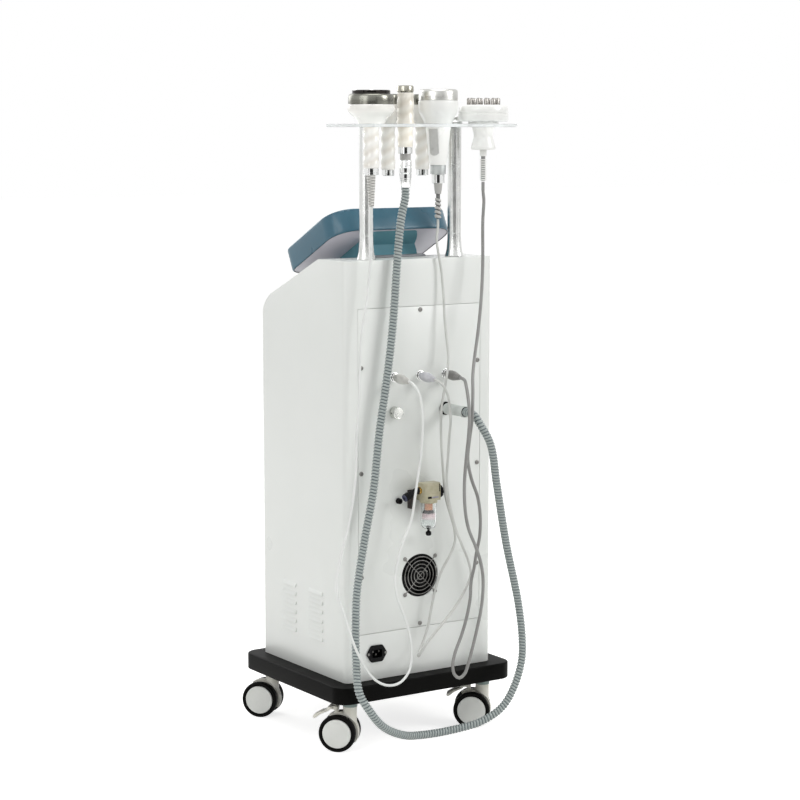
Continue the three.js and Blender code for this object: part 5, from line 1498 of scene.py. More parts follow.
@dataclass
class AirFilter:
    """Filter-drain on its bracket: cast body, clear bowl, bronze element, caps and elbow."""

    slot_size: tuple[float, float] = (9.0, 4.4)

    def body(self) -> None:
        """Cast body with ribs, side bosses, collar and a slot."""
        spot = Spot.of("filter_body")
        at = spot.centre
        foot, top = spot.low.z, spot.high.z
        collar_top = foot + 9
        front, back = at.y - 14, at.y + 14
        form = Form.block((spot.low.x, front, collar_top - 4), (spot.high.x, back, top))
        form.rounded(5, X, 5, lambda place: place.z > at.z).softened(1.2, 3, 50)
        collar = [(0, 0), (16.6, 0), (17.5, 0.9), (17.5, 8), (16.5, 9), (0, 9)]
        collar = Form.turned(raised(collar, foot)).over(at)
        ribs = [Form.block((side * 17.2 - 0.9, front - 0.5, collar_top - 2),
                           (side * 17.2 + 0.9, back + 0.6, top - 1.2)).softened(0.5) for side in (-1, 1)]
        face = Form.block((-15.5, back - 1, collar_top - 3), (15.5, back + 1.0, foot + 17.5)).softened(0.7, 3)
        boss = Form.turned([(0, 0), (10.5, 0), (10.5, 1.6), (9.5, 2.2), (0, 2.2)], 48).along_x()
        boss.moved(spot.high.x - 1.8, at.y, foot + 25)
        form.with_(collar, face, boss, *ribs)
        form.piece("filter_casting", BEIGE_CASTING, stands_for=["filter_body"])
        wide, high = self.slot_size
        slot = Form.block((2.5, back + 0.4, foot + 9.5), (2.5 + wide, back + 1.35, foot + 9.5 + high))
        groove = Form.block((-17.4, back - 1, foot + 22), (-15.8, back + 0.75, top - 3)).softened(0.2)
        slot.softened(0.4).with_(groove).piece("filter_slot", BLACK_NYLON)
        band = Form.block((-13.5, back + 0.4, foot + 10.3), (1.5, back + 1.25, foot + 13.2)).softened(0.2)
        thin_layer = replace(PLUG_LAVENDER, name="grey_violet_inlay", colour="9A98A3", shade="8A8894")
        band.piece("filter_band", thin_layer)

    def bowl(self) -> None:
        """Clear bowl with its element, baffle, tinted sleeve and drain."""
        spot = Spot.of("filter_bowl")
        foot, top, low = spot.low.z, spot.high.z, Spot.of("filter_element").low.z
        outline = [(3, foot), (6.5, foot), (10.5, foot + 1.6), (13.4, foot + 5), (14.9, foot + 12), (15, top),
                   (13.2, top), (13.1, foot + 12), (11.8, foot + 6.2), (9.2, foot + 3.4), (6, foot + 2),
                   (3, foot + 2)]
        glass = Form.turned(flowing(outline[:6], 1.5) + flowing(outline[6:], 1.5), closed=True)
        grit = [(0, top - 14.2), (7.8, top - 14.2), (8, top - 13.8), (8, top - 0.1), (0, top - 0.1)]
        baffle = [(0, low), (2.2, low), (3, low + 1), (3.2, low + 4), (11.6, low + 4), (12, low + 5),
                  (8.5, top - 14.6), (0, top - 14.3)]
        sleeve = raised([(12.7, -8), (13.0, -8), (13.0, 3.5), (12.7, 3.5)], low)
        seal = raised([(0, 2.2), (4.8, 2.2), (4.8, 4.6), (3.4, 5.2), (0, 5.2)], foot)
        for name, finish, stands_for, form in (
                ("filter_glass", POLYCARBONATE, ["filter_bowl"], glass),
                ("filter_core", SINTERED, ["filter_element"], Form.turned(grit, 48).softened(0.3)),
                ("filter_baffle", BLACK_NYLON, (), Form.turned(baffle, 48).softened(0.25, 2, 40)),
                ("filter_sleeve", PINK_SLEEVE, (), Form.turned(sleeve, closed=True)),
                ("drain_seat", BLACK_NYLON, (), Form.turned(seal, 40).softened(0.3))):
            made = form.over(spot.centre).piece(name, finish, stands_for=stands_for)
            made.visible_shadow = finish.transmission == 0

    def drain(self) -> None:
        """Knurled drain knob on its stem."""
        spot = Spot.of("drain_knob")
        outline = raised([(0, 0), (3.8, 0), (5.4, 1.6), (5.8, 4.2), (5.3, 7), (3.2, 8.6), (2.4, 9.4),
                          (2.4, 12.7), (0, 12.7)], spot.low.z)
        form = Form.turned(outline, 48).warped(lambda co: self.grooved(co, 5.0, self.knurl))
        form.over(spot.centre).piece("drain_grip", BLACK_NYLON, "drain_knob", ["drain_knob"])

    @staticmethod
    def knurl(turn: float) -> float:
        """Depth of the drain knob's twelve grooves at an angle, as a share of the radius."""
        return 0.05 * (0.5 + 0.5 * math.cos(12 * turn))

    @staticmethod
    def lobes(turn: float) -> float:
        """Depth between the ten lobes of the side cap at an angle, as a share of the radius."""
        return 0.09 * max(0.0, math.cos(10 * turn)) ** 2

    @staticmethod
    def grooved(point: Vector, least: float, depth: Callable[[float], float]) -> Vector:
        """Presses grooves into what lies outside a radius.

        Args:
            point: a place on the form, whose axis is Z.
            least: the radius outside which the grooves run.
            depth: depth of the grooves at an angle, as a share of the radius.

        Returns:
            The pressed place.
        """
        if math.hypot(point.x, point.y) < least:
            return point
        share = 1 - depth(math.atan2(point.y, point.x))
        return Vector((point.x * share, point.y * share, point.z))

    def fittings(self) -> None:
        """Side cap, elbow with its collar, brass port and the bracket."""
        cap = Spot.of("filter_plug")
        length = cap.size.x
        outline = [(0, 0), (9.5, 0), (9.5, 1.4), (12.2, 2.0), (12.5, 2.8), (12.5, length - 1.2),
                   (11.6, length), (5, length), (4.4, length - 2.6), (0, length - 2.6)]
        form = Form.turned(outline, 96).warped(lambda co: self.grooved(co, 9.6, self.lobes))
        form.softened(0.3, 1, 50).rotated(-90, "Y").moved(cap.high.x, cap.centre.y, cap.centre.z)
        form.piece("filter_cap", BLACK_NYLON, stands_for=["filter_plug"])
        spot = Spot.of("elbow_fitting")
        y, z = spot.centre.y, spot.high.z - 8
        start = spot.low.x
        port = Form.turned([(0, 0), (7.6, 0), (7.6, 4.6), (6.6, 5.2), (6.6, 6.0), (0, 6.0)], 6).softened(0.5)
        port.along_x().moved(start, y, z).piece("elbow_hexagon", BRASS)
        path = smooth_path([(start + 4, y, z), (start + 9, y, z), (start + 17, y, z - 3),
                            (spot.high.x - 7, y, z - 11)], 1.0)
        bend = Form.tube(path, lambda distance, share: 6.4 + 0.6 * math.cos(distance / 4), 32)
        tangent = (path[-1] - path[-2]).normalized()
        turn = tangent.to_track_quat("Z", "Y").to_matrix().to_4x4()
        sleeve = Form.turned([(0, -8), (7.4, -8), (7.9, -7.4), (7.9, 0.4), (7.4, 1), (0, 1)], 40)
        sleeve.placed(Matrix.Translation(path[-1]) @ turn)
        bend.with_(sleeve).piece("elbow_body", BLACK_NYLON, stands_for=["elbow_fitting"])
        ring = Form.turned([(3.4, 0.9), (7.2, 0.9), (7.2, 3.0), (6.7, 3.6), (4.0, 3.6), (3.4, 2.6)], 40,
                           closed=True)
        ring.placed(Matrix.Translation(path[-1]) @ turn).piece("elbow_collar", INK_COLLAR)
        plate = Spot.of("filter_bracket")
        low, high = plate.low, plate.high
        corners = (((low.x, low.y, low.z + 23), (high.x, low.y + 3, high.z)),
                   ((high.x - 5, low.y, low.z), (high.x, high.y, high.z - 9)),
                   ((-11, low.y, low.z + 23), (11, high.y, high.z)))
        sheets = [Form.block(*pair).softened(0.6) for pair in corners]
        Form().with_(*sheets).piece("filter_mount", BROWN_PAINT, stands_for=["filter_bracket"])

    def build(self) -> None:
        """Makes the filter."""
        self.body()
        self.bowl()
        self.drain()
        self.fittings()


@dataclass
class Castor:
    """Twin-wheel castor, built along its own heading and then put in place."""

    name: str
    braked: bool
    radius: float = 37.5
    half_width: float = 26.5
    trail: float = 25.0
    web: float = 5.5
    wheel_gap: float = 0.7
    hood_half: float = 6.0
    ring_height: float = 12.5
    neck_shift: float = 4.5
    disc: float = 28.5
    top: float = 99.7
    pedal_x: float = 31.0
    pedal_rise: float = 47.0
    pedal_half: float = 13.0
    eye: float = 3.7

    def frame(self, joints: dict[str, dict[str, Any]]) -> tuple[Matrix, float]:
        """Reads where the castor swivels, how it is turned and how high its axle lies.

        Args:
            joints: the frame's joints by name.

        Returns:
            The castor's own frame and the axle's height.
        """
        pivot = Vector(joints[f"castor_{self.name}_swivel"]["pos_m"]) / MM
        roll = joints[f"castor_{self.name}_roll"]
        heading = math.atan2(-roll["axis"][0], roll["axis"][1])
        turn = Matrix.Rotation(heading, 4, "Z")
        return Matrix.Translation((pivot.x, pivot.y, 0)) @ turn, roll["pos_m"][2] / MM

    def on_axle(self, form: Form, axle: float) -> Form:
        """Lays a turned form on the wheels' axle."""
        return form.along_y().moved(self.trail, 0, axle)

    def wheels(self, own: Matrix, axle: float) -> None:
        """Two tyres with rounded treads, a painted disc on each and the axle between them.

        Args:
            own: the castor's own frame.
            axle: height of the axle.
        """
        inner = self.web + self.wheel_gap
        outer = self.half_width
        tyre = [(self.disc - 2, inner), (axle - 5, inner), (axle - 2.4, inner + 2), (axle - 0.9, inner + 6),
                (axle, inner + 11), (axle, outer - 4), (axle - 0.4, outer - 2), (axle - 1.4, outer - 0.6),
                (axle - 3, outer - 0.1), (axle - 6, outer - 0.3), (self.disc + 2, outer - 2.2),
                (self.disc - 2, outer - 5)]
        disc = [(0, inner + 2), (self.disc - 2.2, inner + 2), (self.disc, outer - 2.4),
                (self.disc, outer - 0.9), (self.disc - 0.9, outer - 0.1), (self.disc * 0.72, outer),
                (0, outer)]
        tyres, discs = [], []
        for side in (-1, 1):
            for outline, closed, kept in ((tyre, True, tyres), (disc, False, discs)):
                mirrored = [(radius, side * place) for radius, place in outline]
                kept.append(self.on_axle(Form.turned(mirrored, 96, closed), axle).placed(own))
        hub = self.on_axle(Form.rod(10, -inner - 3, inner + 3), axle).placed(own)
        body = f"castor_{self.name}_wheel_pair"
        Form().with_(*tyres).piece(f"{self.name}_tyres", TREAD, body, [f"castor_{self.name}_wheels"])
        Form().with_(*discs).piece(f"{self.name}_discs", DISC_GREY, body)
        hub.piece(f"{self.name}_axle", CHROME, body)

    def hood_arc(self, low: float, high: float, width: float, start: float, end: float, axle: float) -> Form:
        """Makes a band round the axle between two angles.

        Args:
            low: inner radius.
            high: outer radius.
            width: half of the band's width.
            start: first angle from +X towards +Z, in degrees.
            end: last angle.
            axle: height of the axle.

        Returns:
            The band in the castor's own frame.
        """
        steps = 36
        angles = [math.radians(start + (end - start) * index / steps) for index in range(steps + 1)]
        outline = [(high * math.cos(a), high * math.sin(a)) for a in angles]
        outline += [(low * math.cos(a), low * math.sin(a)) for a in reversed(angles)]
        return Form.slab(outline, -width, width, Plane.XZ).moved(self.trail, 0, axle)

    def housing(self, own: Matrix, axle: float) -> None:
        """Neck, and the narrow hood between the tyres on its web.

        Args:
            own: the castor's own frame.
            axle: height of the axle.
        """
        reach = self.radius + 0.9
        hood = self.hood_arc(reach - 2, reach + 0.1, self.hood_half, 58, 200, axle).softened(0.5, 2, 50)
        web = self.hood_arc(6.0, reach - 0.4, self.web - 0.2, 56, 210, axle).softened(0.6, 2, 50)
        boss = self.on_axle(Form.rod(22, -self.web + 0.1, self.web - 0.1, 40), axle)
        neck_top = self.top - self.ring_height
        neck = Form.turned([(0, axle + 14), (13.6, axle + 14), (13.6, neck_top - 1), (13.9, neck_top),
                            (13.9, neck_top + 0.5), (0, neck_top + 0.5)], 56).softened(0.4, 2, 40)
        neck.moved(self.neck_shift)
        bore = self.on_axle(Form.rod(2 * reach + 0.4, self.web, 60, 72), axle)
        other = self.on_axle(Form.rod(2 * reach + 0.4, -60, -self.web, 72), axle)
        hood.with_(web, boss, neck.cut(bore, other))
        if self.braked:
            lug = Form.block((self.pedal_x - self.eye, -self.web, axle + 34),
                             (self.pedal_x + self.eye, self.web, axle + self.pedal_rise + self.eye))
            hood.with_(lug.rounded(self.eye * 0.9, Y, 6, lambda at: at.z > axle + 45))
        hood.placed(own).piece(f"{self.name}_hood", IVORY_NYLON, f"castor_{self.name}",
                               [f"castor_{self.name}_housing"])
        ring = Form.turned([(0, neck_top + 0.5), (14.0, neck_top + 0.5), (14.3, neck_top + 1.2),
                            (14.4, self.top - 4), (16, self.top - 2), (16, self.top), (0, self.top)], 56)
        ring.moved(self.neck_shift - 0.5).placed(own)
        finish = replace(HOSE_PVC, name="grey_green_nylon", attribute="", colour="8FA09C", shade="7C8D89",
                         slot="grey_plastic")
        ring.piece(f"{self.name}_bearing_ring", finish, f"castor_{self.name}")

    def pedal(self, own: Matrix, axle: float) -> None:
        """Toothed brake lever on its pin, curved so that it clears the tyres when it is pressed.

        Args:
            own: the castor's own frame.
            axle: height of the axle.
        """
        hinge = (self.pedal_x, axle + self.pedal_rise)
        crown = [(6.5, 2.6), (11.5, 3.4), (15, 3.0), (15.6, 1.4), (17.6, -3.4), (22.5, -5.6), (28, -8.0)]
        for index in range(4):
            start, level = 29.6 + 3.8 * index, -7.6 - 2.2 * index
            crown += [(start, level), (start + 1.2, level - 0.2), (start + 2.0, level - 2.2),
                      (start + 3.2, level - 2.5)]
        under = [(45.0, -16.2), (45.2, -20), (43.6, -21.6), (40, -20.9), (35, -17), (30, -12.9), (22.5, -9.3),
                 (17.6, -7.4), (13.5, -5.4), (10, -1.8), (6.5, -1.2)]
        side = [(hinge[0] + x, hinge[1] + z) for x, z in (*crown, *under)]
        plate = Form.slab(side, -self.pedal_half, self.pedal_half, Plane.XZ).softened(0.5, 2, 40)
        arc = [(-self.eye * math.sin(math.pi * turn / 16), self.eye * math.cos(math.pi * turn / 16))
               for turn in range(17)]
        eye = [(hinge[0] + x, hinge[1] + z) for x, z in (*arc, (12.5, -1.8), (11, 3.2))]
        near, far = self.web + 0.6, self.web + 3.6
        cheeks = [Form.slab(eye, low, high, Plane.XZ).softened(0.4)
                  for low, high in ((-far, -near), (near, far))]
        pin = Form.rod(4, -10.5, 10.5, 24).along_y().moved(hinge[0], 0, hinge[1])
        plate.with_(pin, *cheeks).placed(own).piece(
            f"{self.name}_pedal", IVORY_NYLON, f"castor_{self.name}_pedal", [f"castor_{self.name}_brake"])

    def build(self, joints: dict[str, dict[str, Any]]) -> None:
        """Makes the castor where the frame's joints say.

        Args:
            joints: the frame's joints by name.
        """
        own, axle = self.frame(joints)
        self.wheels(own, axle)
        self.housing(own, axle)
        if self.braked:
            self.pedal(own, axle)


@dataclass
class Console:
    """Tilted slab with its screen, on a neck with a flange."""

    tilt: float = 26.2
    raised: float = 4.0
    length: float = 214.0
    thickness: float = 47.0
    rear_radius: float = 50.0
    front_radius: float = 30.0
    recess: float = 2.4
    wall: float = 3.0
    neck_half: float = 58.0
    neck_radius: float = 19.0
    screen_half: tuple[float, float] = (120.0, 93.0)
    display_half: tuple[float, float] = (106.0, 79.0)

    def own_frame(self) -> Matrix:
        """Frame of the slab: its lower rear edge is the origin and it runs down to -Y.

        Returns:
            The slab's frame.
        """
        spot = Spot.of("console_housing")
        tilt = math.radians(self.tilt)
        height = spot.high.z - self.thickness * math.cos(tilt) + self.raised
        return Matrix.Translation((0, spot.high.y, height)) @ Matrix.Rotation(tilt, 4, "X")

    def plan(self, inset: float, low: float, high: float) -> Form:
        """Slab between two levels with the console's rounded corners, drawn in by an inset.

        Args:
            inset: how far it is drawn in.
            low: the lower level.
            high: the upper level.

        Returns:
            The slab.
        """
        half = Spot.of("console_housing").high.x - inset
        form = Form.block((-half, -self.length + inset, low), (half, -inset, high))
        form.rounded(self.rear_radius - inset, Z, 16, lambda at: at.y > -self.length / 2)
        return form.rounded(self.front_radius - inset, Z, 12, lambda at: at.y < -self.length / 2)

    def window(self, half: tuple[float, float], gap: float, low: float, high: float) -> Form:
        """Block between two levels over the slab's middle, smaller all round by a gap."""
        x, y, middle = half[0] - gap, half[1] - gap, -self.length / 2
        return Form.block((-x, middle - y, low), (x, middle + y, high))

    def slab(self) -> None:
        """Lacquered housing, sunk base plate with a black ring as painted shade round its recess, bezel and
        glass.
        """
        own = self.own_frame()
        body = self.plan(0, 0, self.thickness).softened(4.0, 5, 60)
        body.cut(self.plan(self.wall, -5, self.recess))
        pocket = self.window(self.screen_half, 0, self.thickness - 6, 60).rounded(6, Z, 6)
        body.cut(pocket).placed(own).piece("console_case", BLUE_LACQUER, stands_for=["console_housing"])
        base = self.plan(self.wall + 0.6, 0.9, self.recess + 1).softened(0.5, 2, 60)
        base.placed(own).piece("console_base", LAVENDER_COAT)
        # A black ring on the inner wall round the sunk base is painted shade in the recess
        recess_shade_ring = self.plan(self.wall - 0.4, 0.2, self.recess + 0.6).cut(self.plan(self.wall + 0.7, -3, 9))
        recess_shade_ring.placed(own).piece("console_recess_shade_ring", BLACK_NYLON)
        top = self.thickness - 1
        glass = self.window(self.screen_half, 0.3, top - 4.6, top).rounded(5.7, Z, 6)
        glass.softened(0.4, 2, 60).placed(own).piece("screen_cover", COVER_GLASS, stands_for=["touch_screen"])
        live = self.window(self.display_half, 0, top - 0.2, top + 0.05)
        layer = replace(COVER_GLASS, name="display_layer", colour="18222C", shade="141C25")
        live.placed(own).piece("screen_display", layer)

    def neck(self) -> None:
        """Neck and its flange, which follows the cabinet's top and slope."""
        cabinet = Spot.of("cabinet_shell")
        spot = Spot.of("console_neck")
        console = Spot.of("console_housing")
        tilt, angle = math.radians(self.tilt), math.radians(Cabinet.slope)
        fold = cabinet.high.y - Cabinet.flat_top
        lift = 0.3 / math.cos(angle)
        rear_z = console.high.z - self.thickness * math.cos(tilt) + self.raised

        def under(y: float) -> float:
            """Height just below the slab's sunk base."""
            return rear_z + (y - console.high.y) * math.tan(tilt) + (self.recess - 1.5)

        def over(y: float) -> float:
            """Height just above the cabinet."""
            return cabinet.high.z - max(fold - y, 0) * math.tan(angle) + lift

        front, foot, crease, top = spot.low.y + 2, spot.high.y - 29, spot.high.y - 42, spot.high.y - 21
        middle = 0.45 * over(foot) + 0.55 * under(crease)
        side = [(foot, over(foot)), (crease, middle), (crease, middle + 1), (top, under(top)),
                (front, under(front)), (front, over(front)), (fold, over(fold))]
        body = Form.slab(side, -self.neck_half, self.neck_half, Plane.YZ)
        prism = Form.block((-self.neck_half, front, 850), (self.neck_half, top + 1, 1050))
        body.common(prism.rounded(self.neck_radius, Z, 8))
        body.piece("neck_column", BLUE_SATIN, stands_for=["console_neck"])
        raise_by = 3 / math.cos(angle)
        edge = spot.low.y
        band = [(spot.high.y, over(spot.high.y)), (spot.high.y, over(spot.high.y) + raise_by),
                (fold, over(fold) + raise_by), (edge, over(edge) + raise_by), (edge, over(edge)),
                (fold, over(fold))]
        plate = Form.slab(band, spot.low.x, spot.high.x, Plane.YZ)
        plan = Form.block((spot.low.x, edge, 850), (spot.high.x, spot.high.y, 1000)).rounded(22, Z, 8)
        plate.common(plan).softened(0.7, 2, 50).piece("neck_flange", GREY_LACQUER)

    def build(self) -> None:
        """Makes the console."""
        self.slab()
        self.neck()


@dataclass
class Holder:
    """Two chromed posts and the clear plate that they carry."""

    foot_height: float = 45.0
    corner: float = 12.0
    holes: tuple[tuple[str, float], ...] = (
        ("large_vacuum_handle", 34.5), ("medium_head_left", 32), ("medium_head_right", 32),
        ("small_vacuum_tip", 34), ("cavitation_cap", 53), ("multipolar_head", 54.5),
        ("holder_post_left", 10.6), ("holder_post_right", 10.6))

    def posts(self) -> None:
        """Tubes with flared feet, a seam above the flare, a stud and a domed cap."""
        plate = Spot.of("holder_plate")
        under, over = plate.low.z, plate.high.z
        for side in ("left", "right"):
            spot = Spot.of(f"holder_post_{side}")
            foot, seam = spot.low.z, spot.low.z + self.foot_height
            flare = flowing([(18.9, foot + 0.6), (17.6, foot + 4), (15.6, foot + 12), (14.3, foot + 24),
                             (13.6, foot + 37), (13.5, seam)], 1.5)
            outline = [(0, foot), (18.4, foot), *flare, (13.2, seam + 0.4), (13.2, seam + 0.9),
                       (13.5, seam + 1.4), (13.5, under - 1.2), (12.6, under - 0.3), (5, under - 0.3),
                       *raised([(5, 0.3), (15.6, 0.3), (16, 0.9), (15.2, 4), (12, 6.5), (8.6, 8), (8.2, 13.4),
                                (7, 14.6), (0, 14.8)], over)]
            Form.turned(outline, 72).over(spot.centre).piece(
                f"{side}_post_tube", SATIN_CHROME, stands_for=[f"holder_post_{side}"], sharp=30)

    def plate(self) -> None:
        """Clear sheet with six round holes and two stud holes."""
        spot = Spot.of("holder_plate")
        form = Form.block(spot.low, spot.high).rounded(self.corner, Z, 10)
        holes = [Form.rod(width, spot.low.z - 2, spot.high.z + 2, 64).over(Spot.of(node).centre)
                 for node, width in self.holes]
        form.cut(Form().with_(*holes)).softened(0.35, 1, 60)
        made = form.piece("clear_sheet", ACRYLIC, stands_for=["holder_plate"])
        # The side faces take the edge's painted highlight
        made.data.materials.append(ACRYLIC_EDGE_HIGHLIGHT.material())
        for face in made.data.polygons:
            if abs(face.normal.z) < 0.5:
                face.material_index = 1
        made.visible_shadow = False

    def build(self) -> None:
        """Makes the holder."""
        self.posts()
        self.plate()


@dataclass(frozen=True)
class Dents:
    """Soft finger dents that wind round a grip, whose axis is Z.

    Attributes:
        ranges: lower and upper ends of the dented parts.
        depth: how deep they are pressed.
        pitch: height of one turn.
    """

    ranges: tuple[tuple[float, float], ...]
    depth: float
    pitch: float

    def wave(self, point: Vector) -> float:
        """Height of the pattern at a place, from -1 in a dent to 1 on a ridge."""
        return math.cos(math.tau * point.z / self.pitch - 2 * math.atan2(point.y, point.x))

    def pressed(self, point: Vector) -> Vector:
        """Moves a place of the grip in or out.

        Args:
            point: the place.

        Returns:
            The pressed place.
        """
        radius = math.hypot(point.x, point.y)
        for low, high in self.ranges:
            if radius >= 0.5 and low < point.z < high:
                share = (point.z - low) / (high - low)
                fade = min(1.0, 8 * share, 8 * (1 - share))
                dented = radius - self.depth * fade * (0.4 - 0.6 * self.wave(point))
                return Vector((point.x * dented / radius, point.y * dented / radius, point.z))
        return point

    def tone(self, point: Vector) -> float:
        """Painted shade in the dents and painted highlight on the ridges, as a tone of the lacquer.

        Args:
            point: a place on the piece.

        Returns:
            A share from 0 in a dent to 1 on a ridge and on plain parts.
        """
        if any(low < point.z < high for low, high in self.ranges):
            return 0.72 + 0.22 * self.wave(point)
        return 0.9


@dataclass
class Handpiece:
    """A hanging handpiece: its place in the plate and the height of its seat."""

    node: str
    body: str

    def origin(self) -> Vector:
        """Axis of the handpiece on the plate's upper face."""
        at = Spot.of(self.node).centre
        return Vector((at.x, at.y, Spot.of("holder_plate").high.z + 0.3))

    def put(self, form: Form, name: str, finish: Finish, stands_for: Sequence[str] = ()) -> None:
        """Moves a turned form to the handpiece's axis and finishes it."""
        form.moved(*self.origin()).piece(name, finish, self.body, stands_for)

    def turn(self, name: str, finish: Finish, steps: int, outline: Outline,
             stands_for: Sequence[str] = ()) -> None:
        """Turns an outline round the handpiece's axis, closed to it at both ends, and finishes it.

        Args:
            name: the piece's name.
            finish: its surface.
            steps: facets of a full turn.
            outline: radii, and heights above the plate.
            stands_for: frame nodes that it replaces.
        """
        self.put(Form.turned(capped(outline), steps), name, finish, stands_for)

    def span(self, node: str) -> tuple[float, float]:
        """Heights of a node's foot and top above the plate."""
        spot, seat = Spot.of(node), self.origin().z
        return spot.low.z - seat, spot.high.z - seat

    def relief(self, node: str, name: str, finish: Finish, sleeve: Triple, ribs: Triple,
               stagger: float) -> None:
        """Makes a strain relief: a plain sleeve above ribs on a thin core.

        Args:
            node: the frame node that it stands for.
            name: the piece's name.
            finish: its surface.
            sleeve: radius of the plain part at its top and at its foot, and its share of the length.
            ribs: radius over the ribs, radius of the core and distance from rib to rib.
            stagger: how far the ribs of one side sit above the middle, and those of the other below it.
        """
        foot, top = self.span(node)
        upper, lower, share = sleeve
        reach, core, pitch = ribs
        end = top - (top - foot) * share
        outline = [(core * 0.8, foot), (core, foot + 0.4)]
        start = foot + 1.2
        while start + pitch < end:
            outline += [(core, start), (reach - 0.3, start + 0.1), (reach, start + 0.4),
                        (reach, start + pitch * 0.52), (reach - 0.3, start + pitch * 0.58),
                        (core, start + pitch * 0.6)]
            start += pitch
        outline += [(core, end - 0.2), (lower - 0.3, end), (lower, end + 0.4), (upper, top - 0.4),
                    (upper - 0.4, top)]
        form = Form.turned(capped(outline), 40)
        form.warped(lambda co: Vector((co.x, co.y, co.z + self.staggered(co, foot, end, stagger))))
        # The rib mark carries painted shade: the core between the ribs is painted darker
        form.marked("rib", lambda co: (math.hypot(co.x, co.y) - core) / (reach - core))
        self.put(form, name, finish, [node])

    @staticmethod
    def staggered(point: Vector, foot: float, end: float, most: float) -> float:
        """Says how far a place of the relief shifts along it, none at the ends of its ribs."""
        inside = max(0.0, min(1.0, (point.z - foot) / 4, (end - point.z) / 4))
        return most * inside * math.cos(math.atan2(point.y, point.x))


@dataclass
class LargeVacuum(Handpiece):
    """Vacuum head with an electrode ring under a dark cap."""

    dents: Dents = Dents(((-81, -3),), 1.2, 23)
    relief_foot: float = 5.6
    relief_flare: float = 3.0
    groove: float = 1.1
    groove_pitch: float = 5.2

    def build(self) -> None:
        """Makes the grip, the bowl, the ring, the cap and the relief."""
        grip = [(14.4, -83), (14.9, -81.5), *[(15.3, -80 + index * 2) for index in range(40)], (15.5, -0.3)]
        form = Form.turned(capped(grip), 64).warped(self.dents.pressed)
        bowl = flowing([(26, 0), (26.4, 2), (28.8, 7), (33.6, 12.8), (39.6, 18), (43.6, 22), (45.0, 26)], 1.2)
        bowl += [(45.0, 28.2), (44.6, 28.6), (45.0, 29.0), (45.0, 31.0), (44.6, 31.4), (45.0, 31.8),
                 (44.9, 34.6), (44.0, 35.6)]
        # The dent mark carries painted shade in the dents and a painted highlight on the ridges
        form.with_(Form.turned(capped(bowl), 96)).marked("dent", self.dents.tone)
        self.put(form, "large_grip_and_bowl", PEARL, ["large_vacuum_handle"])
        self.turn("large_ferrule", CHROME, 64, [
            (13.4, -96), (14, -95.4), (14, -92), (13.5, -91.7), (13.5, -91.2), (14, -90.9), (14.2, -83.6),
            (13.8, -83)])
        ring = flowing([(43.5, 36.1), (43.5, 44), (42.9, 50), (41.7, 53.6), (39.5, 55.3)], 1.2)
        self.turn("large_electrode_ring", GUNMETAL, 96, [(43.0, 35.9), *ring, (37.5, 55.9)],
                  ["large_vacuum_electrode"])
        self.turn("large_electrode_cap", BLACK_NICKEL, 96, [
            (35.8, 55.8), (36, 56.2), (36, 61.2), (35, 62.5), (33.6, 62.8)])
        rim = [(33.2, 62.6), (35.2, 62.4), (34.9, 62.9), (33.4, 63.0)]
        self.put(Form.turned(rim, 96, closed=True), "large_cap_rim", CHROME)
        self.relief_sleeve()

    def relief_sleeve(self) -> None:
        """Strain relief with crossed grooves over its whole length."""
        foot, top = self.span("large_strain_relief")
        length, count = top - foot, 60
        outline = [(self.relief_foot + self.relief_flare * index / count, foot + length * index / count)
                   for index in range(count + 1)]
        form = Form.turned(capped(outline), 60).warped(self.crossed)
        # The rib mark carries painted shade: the crossed grooves are painted darker
        form.marked("rib", lambda co: 1 - (self.relief_foot + self.relief_flare * (co.z - foot) / length
                                           - math.hypot(co.x, co.y)) / self.groove)
        self.put(form, "large_relief", RELIEF_PALE, ["large_strain_relief"])

    def crossed(self, point: Vector) -> Vector:
        """Presses two crossing spirals of grooves into the relief.

        Args:
            point: a place on the relief.

        Returns:
            The pressed place.
        """
        radius = math.hypot(point.x, point.y)
        if radius < 4:
            return point
        turn, rise = 2 * math.atan2(point.y, point.x), math.tau * point.z / self.groove_pitch
        pressed = radius - self.groove * sum(max(0.0, math.cos(rise + way * turn)) ** 2 for way in (1, -1))
        return Vector((point.x * pressed / radius, point.y * pressed / radius, point.z))


@dataclass
class MediumHead(Handpiece):
    """Closed medium head with a dark cap, a pearl grip and a chromed tail."""

    dents: Dents = Dents(((-86, -3),), 1.2, 23)

    def build(self) -> None:
        """Makes the head, its cap, the grip and the ferrule."""
        side = self.node.rsplit("_", 1)[1]
        grip = [(12.9, -88), (13.6, -86.5), *[(14.0, -85 + index * 2) for index in range(42)], (14.2, -0.3)]
        form = Form.turned(capped(grip), 56).warped(self.dents.pressed)
        head = flowing([(17.6, 0), (18.4, 3), (19.6, 10), (20, 20), (19.8, 30), (19.6, 37)], 1.5)
        # The dent mark carries painted shade in the dents and a painted highlight on the ridges
        form.with_(Form.turned(capped(head), 64)).marked("dent", self.dents.tone)
        self.put(form, f"medium_{side}_shell", PEARL, [self.node])
        cap = [(0, 37.2), (19.4, 37.2), (20, 37.8), (20, 53.6), (19, 56), (16.7, 57), (0, 57)]
        self.put(Form.turned(cap, 64).softened(0.4, 2, 40), f"medium_{side}_cap", GUNMETAL)
        tail = [(11.9, -100), (12.5, -99.4), (12.5, -88.5), (12.1, -88)]
        self.turn(f"medium_{side}_tail", CHROME, 56, tail)


